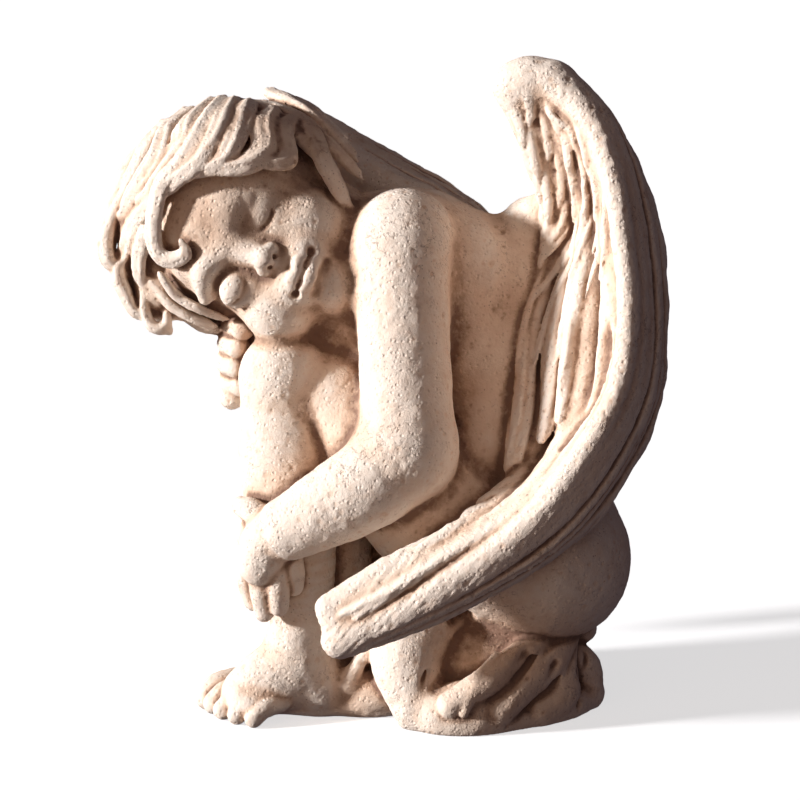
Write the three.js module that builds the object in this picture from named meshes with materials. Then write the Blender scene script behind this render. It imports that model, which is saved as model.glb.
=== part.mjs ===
// A small cast-stone garden figure: a winged putto sitting on a cloth-covered mound, hugging its
// drawn-up knees and sleeping with its cheek on them. One solid casting, resting on a flat underside.
// Millimetres, +Z up, the figure's face toward -Y. Forms are joined in a distance field with soft
// seams, meshed, and thinned to a light closed body.

import * as THREE from "three";

// ---------------------------------------------------------------------------- sizes

const CELL = 3.0;                    // spacing of the sculpting grid
const TRIANGLES = 9800;              // faces kept in the finished body
const MIDDLE = [-11.46, 2.59];       // x and y of the middle of the figure's footprint box

const RIM = 0.4;                     // corners of the underside this near the resting plane lie on it

const WORK_LOW = [-171, -126, -4.5];  // the block the figure is sculpted from
const WORK_HIGH = [153, 147, 361.5];

const HEAD_CENTRE = [-78, -9, 264];
const HEAD_UP = [-0.905, 0.03, 0.425];
const HEAD_LOOK = [0.03, -0.97, -0.22];
const FACE_CENTRE = [-77, -9, 248];   // the middle of the face at eye level, under its skin
const FACE_UP = [-0.937, 0.064, 0.344];
const FACE_LOOK = [-0.045, -0.995, 0.07];

const STONE_COLOUR = 0xd9c3a8;

// ---------------------------------------------------------------------------- vectors

const add = (a, b) => a.map((v, k) => v + b[k]);
const scale = (a, s) => a.map((v) => v * s);
const dot = (a, b) => a.reduce((sum, v, k) => sum + v * b[k], 0);
const cross = (a, b) => [
  a[1] * b[2] - a[2] * b[1],
  a[2] * b[0] - a[0] * b[2],
  a[0] * b[1] - a[1] * b[0],
];
const unit = (a) => scale(a, 1 / Math.hypot(...a));
const blend = (a, b, t) => a.map((v, k) => v + (b[k] - v) * t);

// Points along a smooth curve through the given rows, each row holding any number of values.
function curve(rows, count) {
  if (rows.length < 3) {
    return [rows[0], rows[rows.length - 1]];
  }
  const last = rows.length - 1;
  const before = rows[0].map((v, k) => 2 * v - rows[1][k]);
  const after = rows[last].map((v, k) => 2 * v - rows[last - 1][k]);
  const p = [before, ...rows, after];
  const points = [];
  for (let n = 0; n < count; n += 1) {
    const at = (n / (count - 1)) * last;
    const i = Math.min(Math.floor(at), last - 1);
    const t = at - i;
    points.push(p[i].map((a, k) => {
      const b = p[i + 1][k];
      const c = p[i + 2][k];
      const d = p[i + 3][k];
      const bend = 2 * a - 5 * b + 4 * c - d;
      return 0.5 * (2 * b + (c - a) * t + bend * t * t + (3 * b - 3 * c + d - a) * t * t * t);
    }));
  }
  return points;
}

// ---------------------------------------------------------------------------- distance field

const counts = WORK_LOW.map((low, k) => Math.round((WORK_HIGH[k] - low) / CELL) + 1);
const field = new Float32Array(counts[0] * counts[1] * counts[2]).fill(40);
const scratch = new Float32Array(field.length);

// Runs over the grid points in a box, giving each one's index and place.
function overBox(low, high, visit) {
  const first = low.map((v, k) => Math.max(0, Math.floor((v - WORK_LOW[k]) / CELL)));
  const last = high.map((v, k) => Math.min(counts[k] - 1, Math.ceil((v - WORK_LOW[k]) / CELL)));
  for (let i = first[0]; i <= last[0]; i += 1) {
    for (let j = first[1]; j <= last[1]; j += 1) {
      for (let k = first[2]; k <= last[2]; k += 1) {
        const index = (i * counts[1] + j) * counts[2] + k;
        visit(index, WORK_LOW[0] + i * CELL, WORK_LOW[1] + j * CELL, WORK_LOW[2] + k * CELL);
      }
    }
  }
}

// Adds a form to the figure, or cuts it away, with a seam rounded over the given width.
function settle(index, distance, seam, cut) {
  const have = field[index];
  const form = cut ? -distance : distance;
  const near = Math.max(seam - Math.abs(have - form), 0) / seam;
  const fillet = near * near * seam * 0.25;
  field[index] = cut ? Math.max(have, form) + fillet : Math.min(have, form) - fillet;
}

// An ellipsoid; axes are its three unit directions.
function oval(centre, radii, seam = 6, axes = null, cut = false) {
  const frame = axes ?? [[1, 0, 0], [0, 1, 0], [0, 0, 1]];
  const reach = [0, 1, 2].map((k) => {
    const span = frame.reduce((sum, axis, n) => sum + Math.abs(axis[k]) * radii[n], 0);
    return span + seam + 2 * CELL;
  });
  overBox(centre.map((v, k) => v - reach[k]), add(centre, reach), (index, x, y, z) => {
    let near = 0;
    let steep = 0;
    for (let n = 0; n < 3; n += 1) {
      const axis = frame[n];
      const along = (x - centre[0]) * axis[0] + (y - centre[1]) * axis[1] + (z - centre[2]) * axis[2];
      near += (along / radii[n]) ** 2;
      steep += (along / radii[n] ** 2) ** 2;
    }
    near = Math.sqrt(near);
    settle(index, (near * (near - 1)) / Math.max(Math.sqrt(steep), 1e-6), seam, cut);
  });
}

const ball = (centre, radius, seam = 6, cut = false) => {
  oval(centre, [radius, radius, radius], seam, null, cut);
};

// A round limb of changing thickness along a smooth curve.
function limb(points, radii, seam = 6, cut = false) {
  const rows = points.map((p, n) => [...p, radii[n]]);
  const line = curve(rows, (rows.length > 5 ? 3 : 6) * (rows.length - 1) + 1);
  const widest = Math.max(...radii) + seam + 2 * CELL;
  const low = [0, 1, 2].map((k) => Math.min(...line.map((p) => p[k])) - widest);
  const high = [0, 1, 2].map((k) => Math.max(...line.map((p) => p[k])) + widest);
  overBox(low, high, (index) => {
    scratch[index] = 40;
  });
  for (let n = 0; n + 1 < line.length; n += 1) {
    const [ax, ay, az, ar] = line[n];
    const [bx, by, bz, br] = line[n + 1];
    const reach = Math.max(ar, br) + seam + 2 * CELL;
    const from = [Math.min(ax, bx) - reach, Math.min(ay, by) - reach, Math.min(az, bz) - reach];
    const to = [Math.max(ax, bx) + reach, Math.max(ay, by) + reach, Math.max(az, bz) + reach];
    const ab = [bx - ax, by - ay, bz - az];
    const long = Math.max(dot(ab, ab), 1e-6);
    overBox(from, to, (index, x, y, z) => {
      const ap = [x - ax, y - ay, z - az];
      const t = Math.min(1, Math.max(0, dot(ap, ab) / long));
      const away = Math.hypot(ap[0] - t * ab[0], ap[1] - t * ab[1], ap[2] - t * ab[2]);
      scratch[index] = Math.min(scratch[index], away - (ar + (br - ar) * t));
    });
  }
  overBox(low, high, (index) => settle(index, scratch[index], seam, cut));
}

// ---------------------------------------------------------------------------- torso and limbs

const TORSO_LEFT = unit([0.556, -0.782, 0.278]);
const TORSO_UP = unit([-0.30, 0.12, 0.93]);
const TORSO_AXES = [TORSO_LEFT, cross(TORSO_LEFT, TORSO_UP), TORSO_UP];

function torso() {
  oval([16, -4, 232], [48, 38, 42], 10, TORSO_AXES);       // rib cage
  oval([-16, -14, 216], [32, 30, 38], 14, TORSO_AXES);     // chest over the thighs
  oval([-24, -2, 190], [28, 26, 26], 14);
  oval([-40, -10, 203], [22, 22, 17], 10);                 // where the cheek rests on the knees
  oval([38, -6, 195], [44, 40, 52], 14, TORSO_AXES);       // waist
  oval([50, -6, 140], [50, 46, 52], 14, TORSO_AXES);       // belly
  oval([64, 2, 98], [56, 46, 42], 16, TORSO_AXES);         // hips
  oval([46, -12, 238], [26, 26, 25], 14, TORSO_AXES);      // left shoulder blade
  oval([80, -28, 84], [43, 45, 43], 12);                   // left buttock
  oval([60, 38, 80], [44, 44, 40], 12);                    // right buttock
  limb([[4, -10, 250], [-24, -16, 250], [-44, -12, 254]], [30, 28, 32], 12);   // neck
  limb([[-10, -22, 226], [-34, -24, 226]], [20, 18], 8);
}

function leftArm() {
  limb([[2, -42, 257], [1, -47, 248], [2, -58, 205], [4, -70, 158]], [25, 25.5, 23.5, 24], 9);
  ball([4, -68, 150], 25, 8);
  limb([[2, -68, 148], [-16, -74, 134], [-40, -74, 120], [-56, -72, 111]], [24, 23, 19.5, 16.5], 5);
}

// The left hand hangs loosely over the front of the shin, bent down at the wrist.
function leftHand() {
  limb([[-60, -68, 110], [-68, -67, 102], [-72, -63, 90]], [14, 14, 12], 2.5);
  limb([[-68, -62, 110], [-76, -60, 117], [-82, -54, 118]], [8, 6.5, 5.5], 3);    // thumb
  ball([-80, -56, 104], 6, 5);
  const fingers = [
    { path: [[-76, -56, 94], [-79, -52, 80], [-77, -50, 66]], radius: 6.6 },
    { path: [[-70, -62, 92], [-72, -59, 78], [-71, -56, 62]], radius: 6.8 },
    { path: [[-63, -65, 92], [-63, -64, 80], [-63, -60, 66]], radius: 6.4 },
    { path: [[-57, -63, 96], [-55, -63, 86], [-55, -58, 76]], radius: 6 },
  ];
  for (const { path, radius } of fingers) {
    limb(path, [radius, radius, radius * 0.8], 1.2);
  }
}

function rightArm() {
  limb([[-38, 22, 250], [-50, 40, 226], [-60, 60, 184]], [24, 22, 20], 8);
  limb([[-60, 60, 182], [-70, 38, 186], [-78, 14, 194]], [21, 19, 15], 6);
  oval([-80, -2, 196], [14, 16, 22], 5);
}

// Four fingers of the right hand are wrapped one above another round the front of the left knee.
function rightFingers() {
  const highest = 208;
  const apart = 10.3;
  for (let n = 0; n < 4; n += 1) {
    const z = highest - apart * n;
    const x = -92.5 + 2.6 * Math.abs(n - 1.8);
    const y = -24 + 2 * n;
    limb([[x + 8, y + 24, z], [x, y + 10, z], [x + 5, y, z - 1]], [7.2, 7, 6.4], 1.5);
  }
  limb([[-88, -2, 180], [-90, -8, 168]], [9, 7], 3);
}

function leftLeg() {
  limb([[74, -30, 84], [30, -36, 104], [-6, -34, 140], [-34, -33, 170]], [43, 40, 34, 23], 8);
  limb([[-36, -30, 176], [-60, -34, 182]], [17, 21], 7);
  ball([-62, -34, 184], 21.5, 7);                                              // knee
  limb([[-64, -34, 178], [-59, -34, 146], [-57, -34, 110], [-54, -34, 60], [-54, -34, 44]],
    [19, 26, 24.5, 18, 17], 4);                                                // calf and shin
  limb([[-54, -34, 44], [-54, -34, 26], [-60, -36, 19]], [18, 19, 17], 5);
}

function leftFoot() {
  oval([-44, -34, 17], [18, 17, 17], 5);                                       // heel
  limb([[-56, -35, 27], [-70, -38, 20], [-82, -40, 14]], [18, 17, 13], 5);     // instep
  oval([-78, -41, 10], [17, 19, 10.5], 4);                                     // ball of the foot
  const toes = [
    { tip: [-104, -28, 9], radius: 7.4 },
    { tip: [-100, -38, 8.5], radius: 6 },
    { tip: [-94, -47, 8], radius: 5.8 },
    { tip: [-86, -54, 7.5], radius: 5.6 },
    { tip: [-77, -59, 7], radius: 5.4 },
  ];
  for (const { tip, radius } of toes) {
    limb([add(tip, [14, 9, 4]), add(tip, [6, 3, 3]), add(tip, [0, 0, -2])],
        [radius, radius, radius * 0.95], 1);
  }
}

function rightLeg() {
  limb([[58, 40, 82], [12, 36, 112], [-48, 30, 172]], [40, 36, 22], 8);
  ball([-60, 28, 182], 20, 6);
  limb([[-60, 28, 178], [-38, 26, 126], [-16, 28, 60], [-10, 30, 40]], [20, 26, 19, 17], 5);
  limb([[-4, 30, 18], [-24, 28, 17], [-48, 26, 11]], [17, 15, 10], 5);
  limb([[-30, 2, 150], [-34, -2, 110], [-32, -4, 70], [-30, -6, 30]], [20, 18, 17, 20], 10);
}

// ---------------------------------------------------------------------------- head

const UP = unit(HEAD_UP);
const LOOK = unit(add(HEAD_LOOK, scale(UP, -dot(HEAD_LOOK, UP))));
const LEFT = cross(UP, LOOK);
const HEAD_AXES = [LEFT, LOOK, UP];

// A place on the head: toward its left ear, toward its face, toward its crown.
const onHead = ([left, forward, up]) => [0, 1, 2].map(
  (k) => HEAD_CENTRE[k] + left * LEFT[k] + forward * LOOK[k] + up * UP[k],
);

const BROW = unit(FACE_UP);
const GAZE = unit(add(FACE_LOOK, scale(BROW, -dot(FACE_LOOK, BROW))));
const CHEEK = cross(BROW, GAZE);
const FACE_AXES = [CHEEK, GAZE, BROW];

// A place on the face: toward its left, its front and its forehead, from its middle at eye level.
const onFace = ([left, forward, up]) => [0, 1, 2].map(
  (k) => FACE_CENTRE[k] + left * CHEEK[k] + forward * GAZE[k] + up * BROW[k],
);

function face() {
  oval(onHead([-1, -6, 5]), [50, 53, 53], 6, HEAD_AXES);
  oval(onFace([2, 12, -16]), [38, 33, 42], 10, FACE_AXES);
  oval(onFace([6, 24, 22]), [36, 23, 24], 12, FACE_AXES);           // forehead
  ball(onFace([0, 32, -48]), 14.5, 9);                              // chin
  oval(onFace([20, 0, -34]), [22, 34, 22], 10, FACE_AXES);          // left side of the jaw
  for (const side of [1, -1]) {
    ball(onFace([side * 21, 26, -24]), 19.5, 8);                    // cheek
    limb([[side * 5, 45, 8], [side * 16, 45, 11.5], [side * 29, 38, 8]].map(onFace), [3.2, 3.6, 3.2], 8);
  }
  for (const side of [1, -1]) {
    oval(onFace([side * 15.5, 56.5, -1]), [12, 9.5, 8.5], 6, FACE_AXES, true);
    oval(onFace([side * 18, 41.2, 0]), [9.5, 6.6, 6.2], 2, FACE_AXES);                // closed lid
  }
  limb([[0, 42, 5], [0, 46.5, -6], [0, 50.5, -14.5]].map(onFace), [5.4, 5.6, 6.4], 7);  // nose
  oval(onFace([0, 41, -30]), [17, 12.5, 14], 7, FACE_AXES);
  limb([[-12, 47, -29], [0, 53, -29], [12, 47, -29]].map(onFace), [2, 3.8, 2], 2.5);  // lips
  limb([[-10, 47, -38], [0, 52, -39], [10, 47, -38]].map(onFace), [2, 4.5, 2], 2.5);
}

const HAIR_LIFT = 3.5;                // how far the locks stand from the paths laid over the scalp

const FORELOCKS = [
  { wide: 7.5, path: [[44, -10, 38], [41, 16, 38], [31, 32, 38], [19, 39, 40], [9, 42, 43], [-3, 44, 41],
    [-15, 43, 37], [-23, 43, 31], [-22, 46, 24], [-15, 49, 19], [-11, 50, 23]] },
  { wide: 7, path: [[46, -10, 32], [44, 18, 31], [36, 33, 30], [25, 41, 32], [15, 43, 37], [7, 43, 39]] },
  { wide: 7, path: [[50, -4, 24], [48, 14, 23], [40, 33, 21], [31, 40, 22], [21, 43, 29]] },
  { wide: 7, path: [[52, -2, 12], [49, 18, 12], [43, 32, 6], [35, 40, 10], [26, 43, 22]] },
  { wide: 6, path: [[53, 0, 2], [50, 16, 2], [44, 28, -5], [41, 34, -4], [37, 38, 7]] },
  { wide: 7, path: [[53, -4, -4], [51, 5, -12], [45, 17, -22], [37, 19, -33], [29, 18, -42]] },
];
const CROWN_LOCKS = [
  { wide: 8, path: [[40, -16, 44], [34, 12, 47], [28, 28, 44], [13, 35, 47], [0, 35, 49], [-8, 31, 52]] },
  { wide: 8.5, path: [[31, -14, 53], [21, 2, 57], [15, 25, 54], [1, 27, 56], [-13, 22, 58], [-27, 12, 58],
    [-34, 14, 52]] },
  { wide: 9, path: [[21, -12, 60], [8, -4, 63], [-5, 4, 63], [-21, 10, 64], [-31, 14, 64], [-39, 18, 62]] },
  { wide: 9, path: [[8, -16, 63], [-5, -4, 67], [-18, 4, 68], [-31, 10, 66]] },
  { wide: 9, path: [[-30, 12, 64], [-40, 16, 62], [-47, 19, 57], [-50, 20, 47]] },
];
const CURLS = [
  { wide: 7.5, path: [[-7, 36, 48], [-22, 28, 51], [-40, 18, 51], [-52, 21, 49], [-57, 22, 44],
      [-64, 24, 35],
    [-65, 25, 27]] },
  { wide: 6.5, path: [[-20, 38, 43], [-35, 30, 42], [-46, 24, 38], [-50, 24, 30]] },
  { wide: 6, path: [[-50, 21, 36], [-61, 23, 30], [-67, 26, 23], [-65, 26, 16], [-56, 22, 20]] },
  { wide: 5.5, path: [[-45, 26, 32], [-51, 26, 19], [-53, 26, 7], [-53, 24, -5]] },
  { wide: 4.5, path: [[-36, 38, 26], [-43, 34, 16], [-44, 34, 4], [-45, 28, -9]] },
  { wide: 5.5, path: [[-54, 18, 20], [-57, 18, 7], [-58, 17, -3], [-55, 15, -14]] },
  { wide: 8, path: [[-40, 10, 52], [-54, 12, 42], [-59, 12, 26], [-59, 10, 10], [-54, 8, -8]] },
  { wide: 9, path: [[-30, -4, 58], [-48, -2, 48], [-59, 0, 30], [-59, -2, 12], [-52, -4, -6]] },
];
const SIDE_LOCKS = [
  { wide: 8, path: [[55, -12, 8], [53, 0, -8], [49, 6, -24], [43, 8, -36]] },
  { wide: 8, path: [[54, -20, 4], [52, -16, -14], [48, -10, -29]] },
  { wide: 9, path: [[52, -32, 6], [51, -32, -10], [48, -28, -25]] },
];

// A lock of hair: two strands fanned side by side along a path and drawn together at the tip.
function lock({ path, wide }) {
  const count = 3 * (path.length - 1) + 1;
  const middle = curve(path, count);
  for (const place of [-1, 1]) {
    const strand = middle.map((here, n) => {
      const t = n / (count - 1);
      const along = unit(add(middle[Math.min(n + 1, count - 1)], scale(middle[Math.max(n - 1, 0)], -1)));
      const out = unit(here);
      const side = unit(cross(along, out));
      const apart = 0.5 * wide * Math.min(1, 0.6 + 1.6 * t, 3 * (1 - t) + 0.1);
      return add(here, add(scale(side, place * apart), scale(out, HAIR_LIFT - 0.08 * wide)));
    });
    const swell = strand.map((_, n) => 0.5 * wide * Math.min(1, 0.7 + 1.5 * (n / count), 2.4 * (1 - n / count) + 0.3));
    limb(strand.map(onHead), swell, 1.5);
  }
}

function hair() {
  oval(onHead([-1, -8, 8]), [53.5, 54, 54], 4, HEAD_AXES);
  oval(onHead([-24, 4, 44]), [26, 26, 20], 8, HEAD_AXES);
  oval(onHead([-46, 10, 26]), [16, 20, 22], 8, HEAD_AXES);
  oval(onHead([-44, 10, 4]), [12, 20, 20], 8, HEAD_AXES);
  ball(onHead([-56, 18, 30]), 9, 6);
  ball(onHead([-60, 10, 21]), 9, 6);
  ball(onHead([-65, 12, 26]), 7, 4);
  [...FORELOCKS, ...CROWN_LOCKS, ...CURLS, ...SIDE_LOCKS].forEach(lock);
  const backLocks = 9;
  const rows = 5;
  for (let n = 0; n < backLocks; n += 1) {
    const path = [];
    for (let row = 0; row < rows; row += 1) {
      const turn = THREE.MathUtils.degToRad(145 + 24 * n) + 0.16 * row;
      const down = THREE.MathUtils.degToRad(18 + 26 * row);
      path.push([
        -3 + 53 * Math.sin(down) * Math.cos(turn),
        -14 - 47 * Math.sin(down) * Math.abs(Math.sin(turn)),
        8 + 51 * Math.cos(down),
      ]);
    }
    lock({ path, wide: 9 });
  }
}

// ---------------------------------------------------------------------------- wings

// Each wing is a thick cupped blade from its rounded shoulder down to its swept tip. Its inner edge,
// raised crest, outer face and back are curves; the blade between them is filled with long bars.
const WING_THICK = [10, 12, 13, 13, 13, 13, 12, 9, 8];

const NEAR_WING = {
  inner: [[55, -46, 334], [70, -43, 306], [85, -32, 270], [84, -27, 240], [74, -34, 200], [68, -60, 140],
    [38, -82, 111], [-5, -92, 94], [-36, -94, 75]],
  crest: [[74, -56, 337], [93, -68, 319], [104, -81, 291], [109, -89, 262], [112, -95, 222],
      [103, -101, 178], [64, -104, 122], [9, -104, 83], [-34, -97, 60]],
  outer: [[82, -42, 334], [99, -46, 312], [113, -48, 285], [123, -50, 252], [125, -56, 210],
    [118, -66, 166], [84, -82, 116], [26, -94, 79], [-28, -93, 57]],
  back: [[72, -34, 332], [90, -22, 306], [102, -10, 280], [107, -8, 250], [104, -16, 205],
    [98, -34, 165], [72, -64, 124], [18, -88, 92], [-30, -92, 69]],
  hollow: [8, 3, 0],
  faces: 1,
};

const FAR_WING = {
  inner: [[-62, 66, 305], [-42, 70, 291], [-9, 72, 268], [10, 74, 238], [14, 80, 200],
    [12, 88, 148], [0, 90, 118], [-20, 88, 96], [-40, 80, 76]],
  crest: [[-54, 72, 307], [-30, 86, 295], [2, 98, 275], [20, 106, 250], [26, 110, 215],
    [22, 108, 175], [6, 104, 124], [-18, 94, 86], [-42, 82, 62]],
  outer: [[-44, 68, 305], [-18, 72, 287], [22, 74, 265], [46, 74, 243], [50, 78, 200],
    [46, 80, 160], [24, 88, 115], [-6, 88, 80], [-36, 78, 58]],
  back: [[-50, 60, 303], [-24, 52, 285], [20, 42, 260], [47, 42, 239], [52, 50, 200],
    [46, 62, 162], [22, 78, 116], [-8, 80, 84], [-36, 76, 66]],
  hollow: [4, -3, 0],
  faces: -1,
};

function blade({ inner, crest, outer, back, hollow }) {
  const across = (mix) => inner.map((_, n) => mix(inner[n], crest[n], outer[n], back[n]));
  const away = crest.map((c, n) => unit(add(c, scale(back[n], -1))));
  const rise = (line, far) => line.map((p, n) => add(p, scale(away[n], far)));
  const bars = [
    [across((i) => i), 0.8],
    [across((i, c) => add(blend(i, c, 0.4), scale(hollow, 0.8))), 0.85],
    [across((i, c) => add(blend(i, c, 0.75), hollow)), 0.85],
    [across((i, c) => c), 0.42],
    [rise(across((i, c, o) => blend(c, o, 0.28)), 1), 0.6],
    [rise(across((i, c, o) => blend(c, o, 0.6)), 2), 0.85],
    [across((i, c, o) => o), 0.9],
    [across((i, c, o, b) => b), 0.9],
    [across((i, c, o, b) => add(blend(o, b, 0.5), scale(hollow, 0.3))), 0.9],
    [across((i, c, o, b) => add(blend(blend(i, c, 0.5), blend(o, b, 0.5), 0.5), scale(hollow, 0.4))), 1],
    [across((i, c, o, b) => blend(i, b, 0.5)), 0.9],
  ];
  for (const [line, share] of bars) {
    limb(line, WING_THICK.map((thick) => thick * share), 6);
  }
}

// A place on the inner face of a wing: t runs down it, a across it from its inner edge to its crest.
function onWing({ inner, crest, hollow, faces }, t, a, lift) {
  const rows = inner.map((start, n) => {
    const middle = add(blend(start, crest[n], a), scale(hollow, 4 * a * (1 - a)));
    return [...middle, WING_THICK[n] * 0.86, ...add(crest[n], scale(start, -1))];
  });
  const steps = 64;
  const line = curve(rows, steps + 1);
  const at = Math.min(Math.round(t * steps), steps);
  const [here, next, last] = [line[at], line[Math.min(at + 1, steps)], line[Math.max(at - 1, 0)]];
  const along = add(next.slice(0, 3), scale(last.slice(0, 3), -1));
  const normal = scale(unit(cross(along, here.slice(4))), faces);
  return add(here.slice(0, 3), scale(normal, here[3] + lift));
}

// A bar lying on the inner face from one (t, a) place to another, standing up more toward its end.
function ridge(form, start, end, radius, lift, cut = false) {
  const steps = [0, 0.2, 0.4, 0.6, 0.8, 1];
  const path = steps.map((s) => onWing(form, start[0] + (end[0] - start[0]) * s,
    start[1] + (end[1] - start[1]) * s, cut ? lift : lift * s));
  limb(path, [0.6, 1, 1, 1, 0.9, 0.5].map((share) => share * radius), 2, cut);
}

// The long flight feathers, the deep gap beside the rim, and the two layers of coverts.
function plumage(form) {
  const flight = 4;
  for (let n = 0; n < flight; n += 1) {
    const a = 0.1 + 0.24 * n;
    ridge(form, [0.60 + 0.03 * (n % 2), a], [0.97, a * 0.92], 4.5, -1.5);
  }
  ridge(form, [0.42, 0.80], [0.54, 0.78], 4.2, 0, true);
  ridge(form, [0.52, 0.76], [0.71, 0.66], 5.6, 0.5, true);
  const long = 4;
  for (let n = 0; n < long; n += 1) {
    const a = 0.05 + 0.17 * n;
    ridge(form, [0.38, a + 0.04], [0.69 - 0.035 * n, a * 0.8], 4.5, 3);
  }
  const short = 5;
  for (let n = 0; n < short; n += 1) {
    const a = 0.04 + 0.18 * n;
    ridge(form, [0.12, a + 0.05], [0.30 + 0.02 * (n % 2), a], 3.8, 1.5);
    ridge(form, [0.28, a + 0.05], [0.45 + 0.02 * (n % 2), a - 0.04], 3.8, 4);
  }
}

function wings() {
  limb([[50, -12, 236], [78, -20, 251], [84, -34, 286]], [18, 14, 12], 7);
  limb([[50, -6, 225], [84, -14, 225], [104, -24, 235]], [26, 20, 12], 10);
  limb([[50, -6, 180], [84, -20, 175], [100, -40, 170]], [26, 20, 12], 10);
  limb([[50, -10, 145], [84, -40, 150]], [26, 14], 10);
  limb([[68, -18, 262], [64, -20, 230], [58, -26, 195], [48, -40, 150]], [14, 16, 17, 16], 10);
  oval([66, -46, 335], [17, 14, 14], 8);
  limb([[72, -42, 170], [68, -50, 150]], [15, 14], 6);
  limb([[40, 10, 234], [26, 28, 246], [12, 50, 264]], [22, 18, 14], 10);
  for (const form of [NEAR_WING, FAR_WING]) {
    blade(form);
    plumage(form);
  }
}

// ---------------------------------------------------------------------------- mound

// A low mound under the seat, running out to a thin plinth.
function mound() {
  oval([38, 8, 14], [70, 52, 32], 10);
  oval([48, -26, 26], [44, 32, 32], 10);
  oval([-34, -2, 4], [58, 42, 9], 6);
}

// The bunched cloth: rolls and pleats standing on the mound, with hollows between them.
function cloth() {
  oval([-14, -28, 12], [24, 20, 16], 8);
  limb([[-12, -38, 46], [-20, -43, 34], [-28, -43, 20]], [5, 4, 4], 6);
  limb([[6, -60, 5], [24, -68, 5], [42, -68, 5],
    [62, -57, 5], [86, -44, 6], [102, -24, 7]], [6, 7, 7, 8, 8, 8], 4);
  limb([[16, -38, 56], [4, -48, 38], [8, -56, 14]], [18, 20, 14], 5);
  limb([[20, -64, 12], [34, -64, 15], [48, -62, 12]], [11, 12, 11], 5);
  limb([[30, -48, 62], [34, -66, 46], [26, -80, 28]], [7, 9, 7], 2, true);
  limb([[74, -50, 46], [60, -60, 36], [44, -68, 27], [26, -73, 17]], [8, 8.5, 8, 7], 2);
  limb([[66, -66, 42], [56, -80, 30], [44, -86, 20]], [4, 5, 3], 2, true);
  limb([[86, -42, 44], [78, -52, 34], [64, -60, 25], [52, -66, 13]], [9, 10, 10, 9], 2);
  limb([[82, -62, 36], [78, -70, 24], [68, -76, 14]], [3, 5, 4], 2, true);
  limb([[82, -44, 34], [84, -46, 18], [74, -52, 9]], [9, 12, 10], 3);
  oval([90, -18, 42], [17, 14, 9], 3);
  limb([[84, -32, 33], [98, -28, 24], [101, -24, 8]], [10, 10, 9], 3);
  limb([[94, -50, 32], [104, -42, 14]], [3, 5], 3, true);
}

// ---------------------------------------------------------------------------- meshing

const index3 = (i, j, k) => (i * counts[1] + j) * counts[2] + k;

// Everything below the resting plane is cut off flat.
function cutFlat() {
  overBox(WORK_LOW, WORK_HIGH, (index, x, y, z) => {
    field[index] = Math.max(field[index], -z);
    if (Math.abs(field[index]) < 1e-4) {
      field[index] = 1e-4;
    }
  });
}

// Splits every cell into six tetrahedra and lays a closed skin where the distance is zero.
function skin() {
  const places = [];
  const triangles = [];
  const known = new Map();
  const steps = [[0, 0, 0], [1, 0, 0], [1, 1, 0], [0, 1, 0], [0, 0, 1], [1, 0, 1], [1, 1, 1], [0, 1, 1]];
  const split = [[0, 5, 1, 6], [0, 1, 2, 6], [0, 2, 3, 6], [0, 3, 7, 6], [0, 7, 4, 6], [0, 4, 5, 6]];
  const place = (index) => {
    const k = index % counts[2];
    const j = Math.floor(index / counts[2]) % counts[1];
    const i = Math.floor(index / (counts[1] * counts[2]));
    return [WORK_LOW[0] + i * CELL, WORK_LOW[1] + j * CELL, WORK_LOW[2] + k * CELL];
  };
  const cross0 = (a, b) => {
    const low = Math.min(a, b);
    const high = Math.max(a, b);
    const key = low * field.length + high;
    if (!known.has(key)) {
      const t = field[low] / (field[low] - field[high]);
      known.set(key, places.length);
      places.push(blend(place(low), place(high), Math.min(0.96, Math.max(0.04, t))));
    }
    return known.get(key);
  };
  for (let i = 0; i + 1 < counts[0]; i += 1) {
    for (let j = 0; j + 1 < counts[1]; j += 1) {
      for (let k = 0; k + 1 < counts[2]; k += 1) {
        const corner = steps.map(([a, b, c]) => index3(i + a, j + b, k + c));
        const inside = corner.filter((index) => field[index] < 0).length;
        if (inside === 0 || inside === 8) {
          continue;
        }
        for (const tetra of split) {
          const four = tetra.map((n) => corner[n]);
          const [low, high] = [four.filter((n) => field[n] < 0), four.filter((n) => field[n] >= 0)];
          if (low.length === 0 || high.length === 0) {
            continue;
          }
          let ring;
          if (low.length === 2) {
            ring = [cross0(low[0], high[0]), cross0(low[0], high[1]), cross0(low[1], high[1]), cross0(low[1], high[0])];
          } else if (low.length === 1) {
            ring = high.map((n) => cross0(low[0], n));
          } else {
            ring = low.map((n) => cross0(n, high[0]));
          }
          const [a, b, c] = ring.map((n) => places[n]);
          const facing = cross(add(b, scale(a, -1)), add(c, scale(a, -1)));
          if (dot(facing, add(place(high[0]), scale(place(low[0]), -1))) < 0) {
            ring.reverse();
          }
          triangles.push([ring[0], ring[1], ring[2]]);
          if (ring.length === 4) {
            triangles.push([ring[0], ring[2], ring[3]]);
          }
        }
      }
    }
  }
  return { places, triangles };
}

// ---------------------------------------------------------------------------- thinning

// The sum of squared distances to a set of planes, as ten numbers per corner of the skin.
function planeSums(places, triangles) {
  const sums = new Float64Array(places.length * 10);
  for (const [a, b, c] of triangles) {
    const normal = cross(add(places[b], scale(places[a], -1)), add(places[c], scale(places[a], -1)));
    const area = Math.hypot(...normal);
    if (area < 1e-9) {
      continue;
    }
    const [x, y, z] = scale(normal, 1 / area);
    const w = -(x * places[a][0] + y * places[a][1] + z * places[a][2]);
    const terms = [x * x, x * y, x * z, x * w, y * y, y * z, y * w, z * z, z * w, w * w];
    for (const corner of [a, b, c]) {
      for (let n = 0; n < 10; n += 1) {
        sums[corner * 10 + n] += terms[n] * area;
      }
    }
  }
  return sums;
}

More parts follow.
